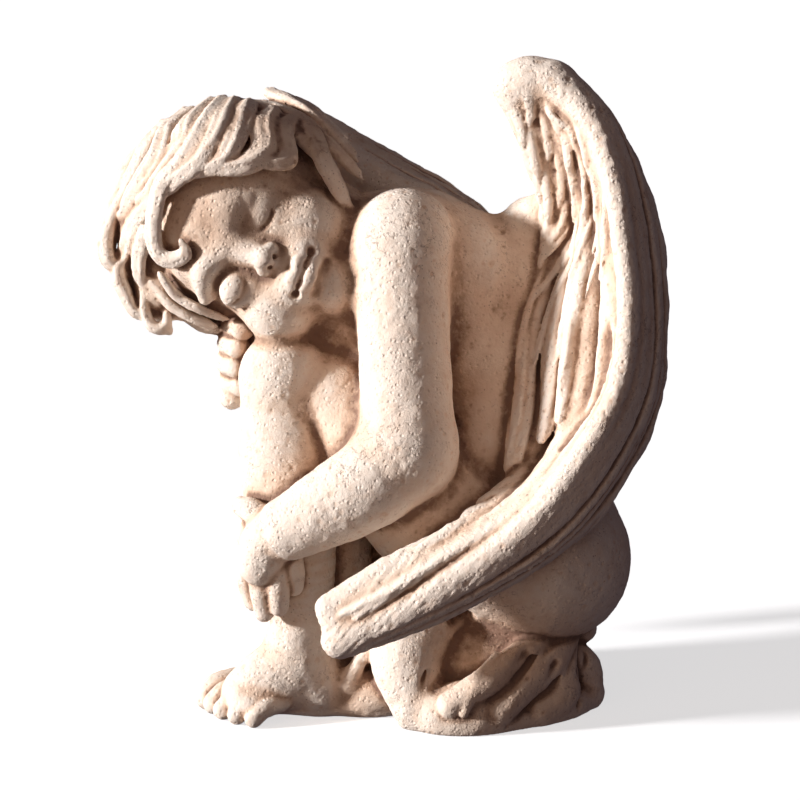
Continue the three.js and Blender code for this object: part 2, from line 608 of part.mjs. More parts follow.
const misfit = (q, [x, y, z]) => q[0] * x * x + 2 * q[1] * x * y + 2 * q[2] * x * z + 2 * q[3] * x
  + q[4] * y * y + 2 * q[5] * y * z + 2 * q[6] * y + q[7] * z * z + 2 * q[8] * z + q[9];

// The place nearest all the planes, or nothing where the planes are almost parallel.
function bestPlace(q) {
  const [r0, r1, r2] = [[q[0], q[1], q[2]], [q[1], q[4], q[5]], [q[2], q[5], q[7]]];
  const size = q[0] + q[4] + q[7];
  const c0 = cross(r1, r2);
  const whole = dot(r0, c0);
  if (Math.abs(whole) < 1e-4 * size ** 3) {
    return null;
  }
  const right = [-q[3], -q[6], -q[8]];
  const c1 = cross(r2, r0);
  const c2 = cross(r0, r1);
  return [0, 1, 2].map((k) => (right[0] * c0[k] + right[1] * c1[k] + right[2] * c2[k]) / whole);
}

// A queue that always gives the cheapest merge first.
class Queue {
  constructor() {
    this.items = [];
  }

  push(item) {
    const items = this.items;
    let at = items.push(item) - 1;
    while (at > 0) {
      const up = (at - 1) >> 1;
      if (items[up].cost <= items[at].cost) {
        break;
      }
      [items[up], items[at]] = [items[at], items[up]];
      at = up;
    }
  }

  pop() {
    const items = this.items;
    const top = items[0];
    const tail = items.pop();
    if (items.length > 0) {
      items[0] = tail;
      let at = 0;
      for (;;) {
        const left = 2 * at + 1;
        if (left >= items.length) {
          break;
        }
        const right = left + 1;
        const low = right < items.length && items[right].cost < items[left].cost ? right : left;
        if (items[at].cost <= items[low].cost) {
          break;
        }
        [items[at], items[low]] = [items[low], items[at]];
        at = low;
      }
    }
    return top;
  }
}

// Merges neighbouring corners, cheapest first, until the skin has the wanted number of faces. A merge
// that would pinch the skin, turn a face over or lift the resting face off its plane isn't made.
function thin({ places, triangles }, wanted) {
  const sums = planeSums(places, triangles);
  const around = places.map(() => new Set());
  const stamp = new Int32Array(places.length);
  triangles.forEach((corners, n) => corners.forEach((corner) => around[corner].add(n)));
  const queue = new Queue();
  const onGround = (corner) => Math.abs(places[corner][2]) < 1e-3;

  const offer = (a, b) => {
    const q = Array.from({ length: 10 }, (_, n) => sums[a * 10 + n] + sums[b * 10 + n]);
    const [pa, pb] = [places[a], places[b]];
    let choices = [pa, pb, blend(pa, pb, 0.5)];
    const best = bestPlace(q);
    if (best && Math.hypot(...add(best, scale(pa, -1))) < 3 * Math.hypot(...add(pb, scale(pa, -1)))) {
      choices.push(best);
    }
    if (onGround(a) || onGround(b)) {
      choices = choices.map(([x, y]) => [x, y, 0]);
      if (!onGround(a)) {
        choices = [[pb[0], pb[1], 0]];
      } else if (!onGround(b)) {
        choices = [[pa[0], pa[1], 0]];
      }
    }
    let pick = choices[0];
    for (const choice of choices) {
      if (misfit(q, choice) < misfit(q, pick)) {
        pick = choice;
      }
    }
    const length = Math.hypot(...add(pb, scale(pa, -1)));
    const cost = Math.max(misfit(q, pick), 0) + 1e-4 * length ** 3;
    queue.push({ cost, a, b, pick, when: stamp[a] + stamp[b] });
  };

  const neighbours = (corner) => {
    const found = new Set();
    around[corner].forEach((n) => triangles[n].forEach((other) => found.add(other)));
    found.delete(corner);
    return found;
  };

  const turnsOver = (corner, other, pick) => {
    for (const n of around[corner]) {
      if (triangles[n].includes(other)) {
        continue;
      }
      const old = triangles[n].map((v) => places[v]);
      const now = triangles[n].map((v) => (v === corner ? pick : places[v]));
      const before = cross(add(old[1], scale(old[0], -1)), add(old[2], scale(old[0], -1)));
      const after = cross(add(now[1], scale(now[0], -1)), add(now[2], scale(now[0], -1)));
      const size = Math.hypot(...after);
      const longest = Math.max(...now.map((p, k) => Math.hypot(...add(p, scale(now[(k + 1) % 3], -1)))));
      if (size < 0.06 * longest ** 2 && size < Math.hypot(...before) * 0.9) {
        return true;
      }
      if (dot(before, after) < 0.35 * Math.hypot(...before) * size) {
        return true;
      }
    }
    return false;
  };

  places.forEach((_, a) => neighbours(a).forEach((b) => {
    if (a < b) {
      offer(a, b);
    }
  }));
  let left = triangles.length;
  while (left > wanted && queue.items.length > 0) {
    const { a, b, pick, when } = queue.pop();
    if (stamp[a] < 0 || stamp[b] < 0 || stamp[a] + stamp[b] !== when) {
      continue;
    }
    const nearB = neighbours(b);
    const shared = [...neighbours(a)].filter((corner) => nearB.has(corner));
    if (!nearB.has(a) || shared.length !== 2 || turnsOver(a, b, pick) || turnsOver(b, a, pick)) {
      continue;
    }
    for (const n of [...around[b]]) {
      if (triangles[n].includes(a)) {
        triangles[n].forEach((corner) => around[corner].delete(n));
        triangles[n] = null;
        left -= 1;
      } else {
        triangles[n] = triangles[n].map((corner) => (corner === b ? a : corner));
        around[a].add(n);
      }
    }
    for (let n = 0; n < 10; n += 1) {
      sums[a * 10 + n] += sums[b * 10 + n];
    }
    places[a] = pick;
    stamp[a] += 1;
    stamp[b] = -1;
    neighbours(a).forEach((corner) => offer(a, corner));
  }
  return { places, triangles: triangles.filter((corners) => corners !== null) };
}

// ---------------------------------------------------------------------------- the part

function sculpt() {
  torso();
  leftLeg();
  leftFoot();
  rightLeg();
  mound();
  cloth();
  face();
  hair();
  rightArm();
  rightFingers();
  leftArm();
  leftHand();
  wings();
  cutFlat();
}

function body() {
  sculpt();
  const { places, triangles } = thin(skin(), TRIANGLES);
  const positions = [];
  for (const corners of triangles) {
    for (const corner of corners) {
      const [x, y, z] = places[corner];
      positions.push(x - MIDDLE[0], y - MIDDLE[1], z < RIM ? 0 : z);
    }
  }
  const geometry = new THREE.BufferGeometry();
  geometry.setAttribute("position", new THREE.Float32BufferAttribute(positions, 3));
  geometry.computeVertexNormals();
  return geometry;
}

const stone = new THREE.MeshStandardMaterial({ color: STONE_COLOUR, roughness: 0.9, metalness: 0 });
stone.name = "stone";

const statue = new THREE.Mesh(body(), stone);
statue.name = "putto_statue";

const part = new THREE.Group();
part.name = "cast_stone_putto";
part.add(statue);

export default part;
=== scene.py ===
"""A small cast-stone garden figure: a winged putto asleep on its drawn-up knees, on a cloth-covered mound.

The figure is sculpted in a distance field, in millimetres, +Z up, with its face toward -Y. Named forms are
joined into the field and cut out of it with soft seams. The field is then meshed, coloured and lit.
"""
import math

import bpy
import numpy as np
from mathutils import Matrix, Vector


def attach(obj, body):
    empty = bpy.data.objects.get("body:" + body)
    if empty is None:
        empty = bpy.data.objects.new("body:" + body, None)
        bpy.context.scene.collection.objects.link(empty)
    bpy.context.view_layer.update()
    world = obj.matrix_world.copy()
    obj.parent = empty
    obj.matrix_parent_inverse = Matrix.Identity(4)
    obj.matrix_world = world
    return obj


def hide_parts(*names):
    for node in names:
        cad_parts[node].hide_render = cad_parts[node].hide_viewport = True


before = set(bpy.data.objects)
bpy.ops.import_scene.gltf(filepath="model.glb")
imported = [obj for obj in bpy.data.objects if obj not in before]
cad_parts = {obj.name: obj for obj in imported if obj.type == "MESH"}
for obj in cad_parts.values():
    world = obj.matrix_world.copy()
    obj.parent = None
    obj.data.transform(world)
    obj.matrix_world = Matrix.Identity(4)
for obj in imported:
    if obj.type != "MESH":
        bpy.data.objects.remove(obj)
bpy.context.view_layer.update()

STEP = 1.15                       # spacing of the sculpting grid, mm
BLOCK_LOW = (-172, -124, -6)      # the block the figure is sculpted from, mm
BLOCK_HIGH = (154, 148, 362)
MIDDLE = (-11.46, 2.59)           # x and y of the middle of the figure's footprint box, mm
PIECES = 5                        # bands the finished skin is parted into, from the foot up
SEED = 7


# ---------------------- distance field

def unit(v):
    v = np.asarray(v, float)
    return v / np.linalg.norm(v)


def curve(points, count):
    """Points along a smooth curve through the rows given; a row may hold a place and a radius."""
    p = np.asarray(points, float)
    p = np.vstack([2 * p[0] - p[1], p, 2 * p[-1] - p[-2]])
    spans = len(p) - 3
    at = np.linspace(0, spans, count)
    i = np.minimum(at.astype(int), spans - 1)
    t = (at - i)[:, None]
    a, b, c, d = p[i], p[i + 1], p[i + 2], p[i + 3]
    bend, twist = 2 * a - 5 * b + 4 * c - d, 3 * b - 3 * c + d - a
    return 0.5 * (2 * b + (c - a) * t + bend * t**2 + twist * t**3)


def between(volume, at):
    """A volume's values at places between its cells, given in cells."""
    base = np.clip(np.floor(at).astype(int), 0, np.array(volume.shape) - 2)
    t = at - base
    total = np.zeros(len(at))
    for i in (0, 1):
        for j in (0, 1):
            for k in (0, 1):
                share = np.abs(1 - i - t[:, 0]) * np.abs(1 - j - t[:, 1]) * np.abs(1 - k - t[:, 2])
                total += share * volume[base[:, 0] + i, base[:, 1] + j, base[:, 2] + k]
    return total


class Field:
    """Distances to the figure's skin on a grid, negative inside."""
    FAR = 30.0

    def __init__(self, low, high, step):
        self.low = np.array(low, float)
        self.step = step
        self.count = np.ceil((np.array(high) - self.low) / step).astype(int) + 1
        self.axes = [(self.low[k] + step * np.arange(self.count[k])).astype(np.float32) for k in range(3)]
        self.d = np.full(self.count, self.FAR, np.float32)

    def window(self, low, high):
        """The slices of the grid that cover a box, and its coordinates as open axes."""
        a = np.clip(np.floor((np.array(low) - self.low) / self.step).astype(int), 0, self.count - 1)
        b = np.clip(np.ceil((np.array(high) - self.low) / self.step).astype(int) + 1, 1, self.count)
        cut = tuple(slice(i, max(j, i + 1)) for i, j in zip(a, b))
        x, y, z = (self.axes[k][cut[k]] for k in range(3))
        return cut, x[:, None, None], y[None, :, None], z[None, None, :]

    def put(self, cut, form, soft, carve):
        """Joins a form on, or cuts it away, with a seam rounded over the soft width."""
        have = self.d[cut]
        if carve:
            form = -form
        near = np.maximum(soft - np.abs(have - form), 0) / soft
        fillet = near * near * (soft * 0.25)
        self.d[cut] = np.maximum(have, form) + fillet if carve else np.minimum(have, form) - fillet

    def sample(self, points):
        """The distances at places between the grid's own."""
        return between(self.d, (points - self.low) / self.step)

    def rise(self, places, normals):
        """How far the skin so far stands out from each place along its normal, evened out along the row."""
        reach = np.arange(8.0, -6.0, -0.5)
        found = []
        for place, normal in zip(places, normals):
            inside = self.sample(place + reach[:, None] * normal) < 0
            entered = reach[1:][inside[1:] & ~inside[:-1]]
            found.append(entered[np.argmin(np.abs(entered))] if len(entered) else 0.0)
        for _ in range(2):
            found = np.convolve(np.pad(found, 1, mode="edge"), (0.25, 0.5, 0.25), "valid")
        return found

    def oval(self, centre, radii, axes=None, soft=6, carve=False):
        """An ellipsoid; axes holds its three unit directions as rows."""
        centre, radii = np.asarray(centre, float), np.asarray(radii, float)
        axes = np.eye(3) if axes is None else np.asarray(axes, float)
        reach = np.abs(axes * radii[:, None]).sum(0) + soft + 2 * self.step
        cut, x, y, z = self.window(centre - reach, centre + reach)
        x, y, z = x - np.float32(centre[0]), y - np.float32(centre[1]), z - np.float32(centre[2])
        near, steep = 0, 0
        for axis, r in zip(axes.astype(np.float32), radii.astype(np.float32)):
            along = x * axis[0] + y * axis[1] + z * axis[2]
            near = near + (along / r) ** 2
            steep = steep + (along / (r * r)) ** 2
        near, steep = np.sqrt(near), np.sqrt(steep)
        self.put(cut, near * (near - 1) / np.maximum(steep, 1e-6), soft, carve)

    def ball(self, centre, radius, soft=6, carve=False):
        self.oval(centre, (radius,) * 3, soft=soft, carve=carve)

    def tube(self, points, radii, soft=6, carve=False, count=None, flat=None, side=None):
        """A round bar along a smooth curve. flat thins it square to side, the direction across it."""
        p = np.asarray(points, float)
        r = np.broadcast_to(np.asarray(radii, float), (len(p),))
        rows = np.column_stack([p, r])
        line = curve(rows, count or 9 * (len(p) - 1) + 1) if len(p) > 2 else rows
        pad = line[:, 3].max() + soft + 2 * self.step
        cut, *_ = self.window(line[:, :3].min(0) - pad, line[:, :3].max(0) + pad)
        form = np.full(self.d[cut].shape, self.FAR, np.float32)
        base = [s.start for s in cut]
        for a, b in zip(line[:-1], line[1:]):
            reach = max(a[3], b[3]) + soft + 2 * self.step
            here, x, y, z = self.window(np.minimum(a[:3], b[:3]) - reach, np.maximum(a[:3], b[:3]) + reach)
            ab = (b[:3] - a[:3]).astype(np.float32)
            long = max(float(ab @ ab), 1e-6)
            x, y, z = x - np.float32(a[0]), y - np.float32(a[1]), z - np.float32(a[2])
            t = np.clip((x * ab[0] + y * ab[1] + z * ab[2]) / np.float32(long), 0, 1)
            u, v, w = x - t * ab[0], y - t * ab[1], z - t * ab[2]
            r = np.float32(a[3]) + np.float32(b[3] - a[3]) * t
            away = u * u + v * v + w * w
            if flat:
                n = unit(np.cross(ab, side)).astype(np.float32)
                q = (u * n[0] + v * n[1] + w * n[2]) ** 2
                wide = np.maximum(away - q, 0)
                near = np.sqrt(wide + q / np.float32(flat**2)) / r
                steep = np.sqrt(wide + q / np.float32(flat**4)) / (r * r)
                d = near * (near - 1) / np.maximum(steep, 1e-6)
            else:
                d = np.sqrt(away) - r
            inner = tuple(slice(s.start - o, s.stop - o) for s, o in zip(here, base))
            np.minimum(form[inner], d, out=form[inner])
        self.put(cut, form, soft, carve)


# ---------------------- torso and limbs

BODY_LEFT = unit((0.556, -0.782, 0.278))
BODY_UP = unit((-0.30, 0.12, 0.93))
BODY_AXES = (BODY_LEFT, np.cross(BODY_LEFT, BODY_UP), BODY_UP)


def torso(f):
    f.oval((16, -4, 232), (48, 38, 42), BODY_AXES, soft=10)      # rib cage
    f.oval((-16, -14, 216), (32, 30, 38), BODY_AXES, soft=14)    # chest over the thighs
    f.oval((-24, -2, 190), (28, 26, 26), soft=14)
    f.oval((-40, -10, 203), (22, 22, 17), soft=10)               # where the cheek rests on the knees
    f.oval((38, -6, 195), (44, 40, 52), BODY_AXES, soft=14)      # waist
    f.oval((50, -6, 140), (50, 46, 52), BODY_AXES, soft=14)      # belly
    f.oval((64, 2, 98), (56, 46, 42), BODY_AXES, soft=16)        # hips
    f.oval((46, -12, 238), (26, 26, 25), BODY_AXES, soft=14)     # left shoulder blade
    f.oval((80, -28, 84), (43, 45, 43), soft=12)                 # left buttock
    f.oval((60, 38, 80), (44, 44, 40), soft=12)                  # right buttock
    f.tube([(4, -10, 250), (-24, -16, 250), (-44, -12, 254)], [30, 28, 32], soft=12)   # neck
    f.tube([(-10, -22, 226), (-34, -24, 226)], [20, 18], soft=8)


def left_leg(f):
    f.tube([(74, -30, 84), (30, -36, 104), (-6, -34, 140), (-34, -33, 170)], [43, 40, 34, 23], soft=8)
    f.tube([(-36, -30, 176), (-60, -34, 182)], [17, 21], soft=7)
    f.ball((-62, -34, 184), 21.5, soft=7)                        # knee
    f.tube([(-64, -34, 178), (-59, -34, 146), (-57, -34, 110), (-54, -34, 60), (-54, -34, 44)],
           [19, 26, 24.5, 18, 17], soft=4)                       # calf and shin
    f.tube([(-54, -34, 44), (-54, -34, 26), (-60, -36, 19)], [18, 19, 17], soft=5)


def left_foot(f):
    f.oval((-44, -34, 17), (18, 17, 17), soft=5)                 # heel
    f.tube([(-56, -35, 27), (-70, -38, 20), (-82, -40, 14)], [18, 17, 13], soft=5)
    f.oval((-78, -41, 10), (17, 19, 10.5), soft=4)               # ball of the foot
    toes = [(-104, -28, 9, 7.4), (-100, -38, 8.5, 6.0), (-94, -47, 8, 5.8), (-86, -54, 7.5, 5.6),
            (-77, -59, 7, 5.4)]
    for x, y, z, r in toes:
        f.tube([(x + 14, y + 9, z + 4), (x + 6, y + 3, z + 3), (x, y, z - 2)], [r, r, r * 0.95], soft=1.0)


def right_leg(f):
    f.tube([(58, 40, 82), (12, 36, 112), (-48, 30, 172)], [40, 36, 22], soft=8)
    f.ball((-60, 28, 182), 20, soft=6)
    f.tube([(-60, 28, 178), (-38, 26, 126), (-16, 28, 60), (-10, 30, 40)], [20, 26, 19, 17], soft=5)
    f.tube([(-4, 30, 18), (-24, 28, 17), (-48, 26, 11)], [17, 15, 10], soft=5)
    f.tube([(-30, 2, 150), (-34, -2, 110), (-32, -4, 70), (-30, -6, 30)], [20, 18, 17, 20], soft=10)


def left_arm(f):
    f.tube([(2, -42, 257), (1, -47, 248), (2, -58, 205), (4, -70, 158)], [25, 25.5, 23.5, 24], soft=9)
    f.ball((4, -68, 150), 25, soft=8)
    f.tube([(2, -68, 148), (-16, -74, 134), (-40, -74, 120), (-56, -72, 111)], [24, 23, 19.5, 16.5],
           soft=5)


def left_hand(f):
    """The left hand hangs loosely over the front of the shin, bent down at the wrist."""
    f.tube([(-60, -68, 110), (-68, -67, 102), (-72, -63, 90)], [14, 14, 12], soft=2.5)
    f.tube([(-68, -62, 110), (-76, -60, 117), (-82, -54, 118)], [8, 6.5, 5.5], soft=3)    # thumb
    f.ball((-80, -56, 104), 6, soft=5)
    fingers = [
        ([(-76, -56, 94), (-79, -52, 80), (-77, -50, 66)], 6.6),
        ([(-70, -62, 92), (-72, -59, 78), (-71, -56, 62)], 6.8),
        ([(-63, -65, 92), (-63, -64, 80), (-63, -60, 66)], 6.4),
        ([(-57, -63, 96), (-55, -63, 86), (-55, -58, 76)], 6),
    ]
    for path, r in fingers:
        f.tube(path, [r, r, r * 0.8], soft=1.2)


def right_arm(f):
    f.tube([(-38, 22, 250), (-50, 40, 226), (-60, 60, 184)], [24, 22, 20], soft=8)
    f.tube([(-60, 60, 182), (-70, 38, 186), (-78, 14, 194)], [21, 19, 15], soft=6)
    f.oval((-80, -2, 196), (14, 16, 22), soft=5)


def right_fingers(f):
    """Four fingers wrapped one above another round the front of the left knee."""
    highest, apart = 208, 10.3
    for n in range(4):
        z = highest - apart * n
        x = -92.5 + 2.6 * abs(n - 1.8)
        y = -24 + 2 * n
        f.tube([(x + 8, y + 24, z), (x, y + 10, z), (x + 5, y, z - 1)], [7.2, 7, 6.4], soft=1.2)
    f.tube([(-88, -2, 180), (-90, -8, 168)], [9, 7], soft=3)


# ---------------------- head

HEAD = np.array([-78.0, -9.0, 264.0])
UP = unit((-0.905, 0.03, 0.425))
LOOK = np.array([0.03, -0.97, -0.22])
LOOK = unit(LOOK - (LOOK @ UP) * UP)
LEFT = np.cross(UP, LOOK)
HEAD_AXES = (LEFT, LOOK, UP)


def on_head(points):
    """Places given as distances toward the left ear, the face and the crown."""
    p = np.asarray(points, float)
    return HEAD + p[..., :1] * LEFT + p[..., 1:2] * LOOK + p[..., 2:3] * UP


FACE = np.array([-77.0, -9.0, 248.0])
FACE_UP = unit((-0.937, 0.064, 0.344))
FACE_LOOK = np.array([-0.045, -0.995, 0.07])
FACE_LOOK = unit(FACE_LOOK - (FACE_LOOK @ FACE_UP) * FACE_UP)
FACE_LEFT = np.cross(FACE_UP, FACE_LOOK)
FACE_AXES = (FACE_LEFT, FACE_LOOK, FACE_UP)


FACE_STEP = 16.0                  # an infant's brow, eyes, nose base and mouth lie one such step apart, mm
EYE_OUT = 20.0                    # each eye's middle from the middle of the face, mm; a head is five eyes wide


def on_face(points):
    """Places given from the middle of the face at eye level, toward its left, front and forehead."""
    p = np.asarray(points, float)
    return FACE + p[..., :1] * FACE_LEFT + p[..., 1:2] * FACE_LOOK + p[..., 2:3] * FACE_UP


def mirrored(points, side):
    return [(side * a, b, c) for a, b, c in points]


def face(f):
    f.oval(on_head((-1, -6, 5)), (50, 53, 53), HEAD_AXES, soft=6)
    f.oval(on_face((2, 12, -16)), (38, 33, 42), FACE_AXES, soft=10)
    f.oval(on_face((6, 24, 22)), (36, 23, 24), FACE_AXES, soft=12)         # forehead
    f.ball(on_face((0, 32, -48)), 14.5, soft=9)                            # chin
    f.oval(on_face((20, 0, -34)), (22, 34, 22), FACE_AXES, soft=10)        # left side of the jaw
    for side in (1, -1):
        f.ball(on_face((side * 21, 26, -24)), 19.5, soft=8)                # cheek
        brow = mirrored([(6, 44, FACE_STEP - 4), (18, 43.5, FACE_STEP), (32, 33, FACE_STEP - 4)], side)
        f.tube(on_face(brow), [2.6, 3.4, 2.0], soft=10)
    for side in (1, -1):
        eye(f, side)
    nose(f)
    mouth(f)


def eye(f, side):
    """A closed eye: an almond lid in a soft socket, with the fold above it and the lash line below."""
    f.oval(on_face((side * (EYE_OUT - 2), 56, -1)), (12, 9, 8.5), FACE_AXES, soft=7, carve=True)
    f.oval(on_face((side * EYE_OUT, 40.0, -0.8)), (EYE_OUT / 2, 6.8, 7.2), FACE_AXES, soft=2.5)
    corners = (EYE_OUT - 9.3, EYE_OUT - 4.5, EYE_OUT + 2.5, EYE_OUT + 9.3)
    fold = mirrored(zip(corners, (45.4, 46.4, 46.0, 42.0), (1.5, 5.4, 6.0, 2.2)), side)
    lash = mirrored(zip(corners, (45.0, 45.2, 44.8, 41.4), (-2.2, -6.0, -6.6, -2.6)), side)
    f.tube(on_face(fold), [0.8, 1.1, 1.1, 0.8], soft=1.5, carve=True)
    f.tube(on_face(lash), [0.8, 1.5, 1.5, 0.8], soft=1.0, carve=True)
    under = [(a, b - 3.4, c - 2.6) for a, b, c in lash]
    f.tube(on_face(under), [0.5, 1.2, 1.2, 0.5], soft=5)


def nose(f):
    """A short rounded nose whose base lies one step below the eyes."""
    base = -FACE_STEP
    f.tube(on_face([(0, 41, 9), (0, 46, 0), (0, 50, base + 6)]), [4.8, 4.6, 5.0], soft=8)
    f.ball(on_face((0, 51.5, base + 4.5)), 5.6, soft=3)
    for side in (1, -1):
        f.oval(on_face((side * 5.4, 48, base + 3.5)), (3.6, 4.4, 3.4), FACE_AXES, soft=2)
        f.oval(on_face((side * 2.9, 52, base)), (1.6, 2.4, 1.6), FACE_AXES, soft=1, carve=True)


def mouth(f):
    """Small full lips, a little parted, two steps below the eyes, with a dimple at each corner."""
    gap = -2 * FACE_STEP
    f.oval(on_face((0, 41, gap + 2)), (16, 12, 13), FACE_AXES, soft=8)
    f.tube(on_face([(0, 55.5, gap + 12), (0, 54.2, gap + 7)]), 1.2, soft=3, carve=True)
    upper = [(-10, 47, gap + 1.5), (-4.6, 51.4, gap + 4), (0, 51.6, gap + 3), (4.6, 51.4, gap + 4),
             (10, 47, gap + 1.5)]
    lower = [(-8.5, 47.6, gap - 2), (0, 51.2, gap - 4), (8.5, 47.6, gap - 2)]
    f.tube(on_face(upper), [1.2, 3.2, 3.0, 3.2, 1.2], soft=2)
    f.tube(on_face(lower), [1.8, 4.0, 1.8], soft=2)
    f.tube(on_face([(-10, 48.5, gap), (0, 55, gap), (10, 48.5, gap)]), [0.8, 1.8, 0.8], soft=1, carve=True)
    f.tube(on_face([(-7, 46, gap), (0, 50.5, gap), (7, 46, gap)]), [0.8, 1.5, 0.8], soft=1, carve=True)
    f.tube(on_face([(-9, 46.5, gap - 10), (0, 50.5, gap - 11), (9, 46.5, gap - 10)]), [1.2, 2.0, 1.2],
           soft=5, carve=True)
    for side in (1, -1):
        f.ball(on_face((side * 12, 48, gap)), 1.8, soft=3, carve=True)


HAIR_LIFT = 3.5                   # how far the locks stand from the paths laid over the scalp, mm
CROWN_LIFT = 5.5                  # the same for the locks on top


def lock(f, path, wide, raised=HAIR_LIFT, strands=4, soft=1.0):
    """A lock of hair: a flat swelling band along a path on the head, with strands fanned over it
    and drawn together at the tip."""
    count = 6 * (len(path) - 1) + 1
    middle = curve(path, count)
    t = np.linspace(0, 1, count)
    along = np.gradient(middle, axis=0)
    pace = np.linalg.norm(along, axis=1)
    along /= pace[:, None]
    out = middle / np.linalg.norm(middle, axis=1)[:, None]
    side = np.cross(along, out)
    side /= np.linalg.norm(side, axis=1)[:, None]
    body = np.interp(t, [0, 0.2, 0.7, 0.9, 1], [0.7, 1, 0.9, 0.65, 0.3])
    turned = np.array([LEFT, LOOK, UP])
    for k in range(count):
        axes = np.array([along[k], side[k], np.cross(along[k], side[k])]) @ turned
        centre = on_head(middle[k] + out[k] * (raised - 0.22 * wide))
        f.oval(centre, (1.6 * pace[k] + 1, 0.98 * wide * body[k], 0.52 * wide * body[k]), axes, soft=1.0)
    apart = np.interp(t, [0, 0.25, 0.65, 1], [0.6, 1.15, 1.0, 0.1])
    for k in range(strands):
        place = 2 * k / (strands - 1) - 1
        wander = 0.15 * wide * np.sin(6 * t + 2.1 * k + path[0][0])
        across = place * 0.60 * wide * apart + wander
        thick = wide * (0.24, 0.19, 0.27, 0.21)[k % 4] * body
        height = raised + 0.17 * wide - 0.24 * wide * place * place
        strand = middle + side * across[:, None] + out * height
        f.tube(on_head(strand), thick, soft=soft, count=count)


FORELOCKS = [
    ([(44, -10, 38), (41, 16, 38), (31, 32, 38), (19, 39, 40), (9, 42, 43), (-3, 44, 41), (-15, 43, 37),
      (-23, 43, 31), (-22, 45, 24), (-15, 47, 19), (-11, 47, 23)], 6),
    ([(46, -10, 32), (44, 18, 31), (36, 33, 30), (25, 41, 32), (15, 43, 37), (7, 43, 39)], 7),
    ([(50, -4, 24), (48, 14, 23), (40, 33, 21), (31, 40, 22), (21, 43, 29)], 7),
    ([(52, -2, 12), (49, 18, 12), (43, 32, 6), (35, 40, 10), (26, 43, 22)], 7),
    ([(53, 0, 2), (50, 16, 2), (44, 28, -5), (41, 34, -4), (37, 38, 7)], 6),
    ([(53, -4, -4), (51, 5, -12), (45, 17, -22), (37, 19, -33), (29, 18, -42)], 7),
]
CROWN_LOCKS = [
    ([(40, -16, 44), (34, 12, 47), (28, 28, 44), (13, 35, 47), (0, 35, 49), (-8, 31, 52)], 8),
    ([(31, -14, 53), (21, 2, 57), (15, 25, 54), (1, 27, 56), (-13, 22, 58), (-27, 12, 58),
      (-34, 14, 52)], 8.5),
    ([(21, -12, 60), (8, -4, 63), (-5, 4, 63), (-21, 10, 64), (-31, 14, 64), (-39, 18, 62)], 9),
    ([(8, -16, 63), (-5, -4, 67), (-18, 4, 68), (-31, 10, 66)], 9),
    ([(-30, 12, 64), (-40, 16, 62), (-47, 19, 57), (-50, 20, 47)], 9),
]
CURLS = [
    ([(-7, 36, 48), (-22, 28, 51), (-40, 18, 51), (-52, 21, 49), (-57, 22, 44), (-64, 24, 35),
      (-65, 25, 27)], 7.5),
    ([(-20, 38, 43), (-35, 30, 42), (-46, 24, 38), (-50, 24, 30)], 6.5),
    ([(-50, 21, 36), (-61, 23, 30), (-67, 26, 23), (-65, 26, 16), (-56, 22, 20)], 6),
    ([(-45, 26, 32), (-51, 26, 19), (-53, 26, 7), (-53, 24, -5)], 5.5),
    ([(-36, 38, 26), (-43, 34, 16), (-44, 34, 4), (-45, 28, -9)], 4.5),
    ([(-54, 18, 20), (-57, 18, 7), (-58, 17, -3), (-55, 15, -14)], 5.5),
    ([(-40, 10, 52), (-54, 12, 42), (-59, 12, 26), (-59, 10, 10), (-54, 8, -8)], 8),
    ([(-30, -4, 58), (-48, -2, 48), (-59, 0, 30), (-59, -2, 12), (-52, -4, -6)], 9),
]
SIDE_LOCKS = [
    ([(37, -18, 36), (47, -10, 20), (50, 2, 4), (47, 12, -14), (42, 14, -28)], 6.5),
    ([(39, -28, 30), (49, -20, 14), (52, -8, -4), (48, 0, -24), (44, 4, -38)], 7),
    ([(52, -36, 18), (54, -26, 2), (51, -18, -16), (47, -12, -32)], 8),
    ([(52, -40, 6), (51, -34, -10), (48, -28, -25)], 8),
]


def hair(f):
    f.oval(on_head((-1, -8, 8)), (53.5, 54, 54), HEAD_AXES, soft=4)
    f.oval(on_head((-24, 4, 44)), (26, 26, 20), HEAD_AXES, soft=8)
    f.oval(on_head((-46, 10, 26)), (16, 20, 22), HEAD_AXES, soft=8)
    f.oval(on_head((-44, 10, 4)), (12, 20, 20), HEAD_AXES, soft=8)
    f.ball(on_head((-56, 18, 30)), 9, soft=6)
    f.ball(on_head((-60, 10, 21)), 9, soft=6)
    f.ball(on_head((-65, 12, 26)), 7, soft=4)
    for path, wide in CROWN_LOCKS + CURLS:
        lock(f, path, wide)
    for path, wide in FORELOCKS + SIDE_LOCKS:
        lock(f, path, wide, CROWN_LIFT)
    back_locks, rows = 9, 5
    for k in range(back_locks):
        path = []
        for j in range(rows):
            turn = math.radians(145 + 24 * k) + 0.16 * j
            down = math.radians(18 + 26 * j)
            path.append((-3 + 53 * math.sin(down) * math.cos(turn),
                         -14 - 47 * math.sin(down) * abs(math.sin(turn)),
                         8 + 51 * math.cos(down)))
        lock(f, path, 9)


# ---------------------- wings

WING_THICK = np.array([10, 12, 13, 13, 13, 13, 12, 9, 8.0])


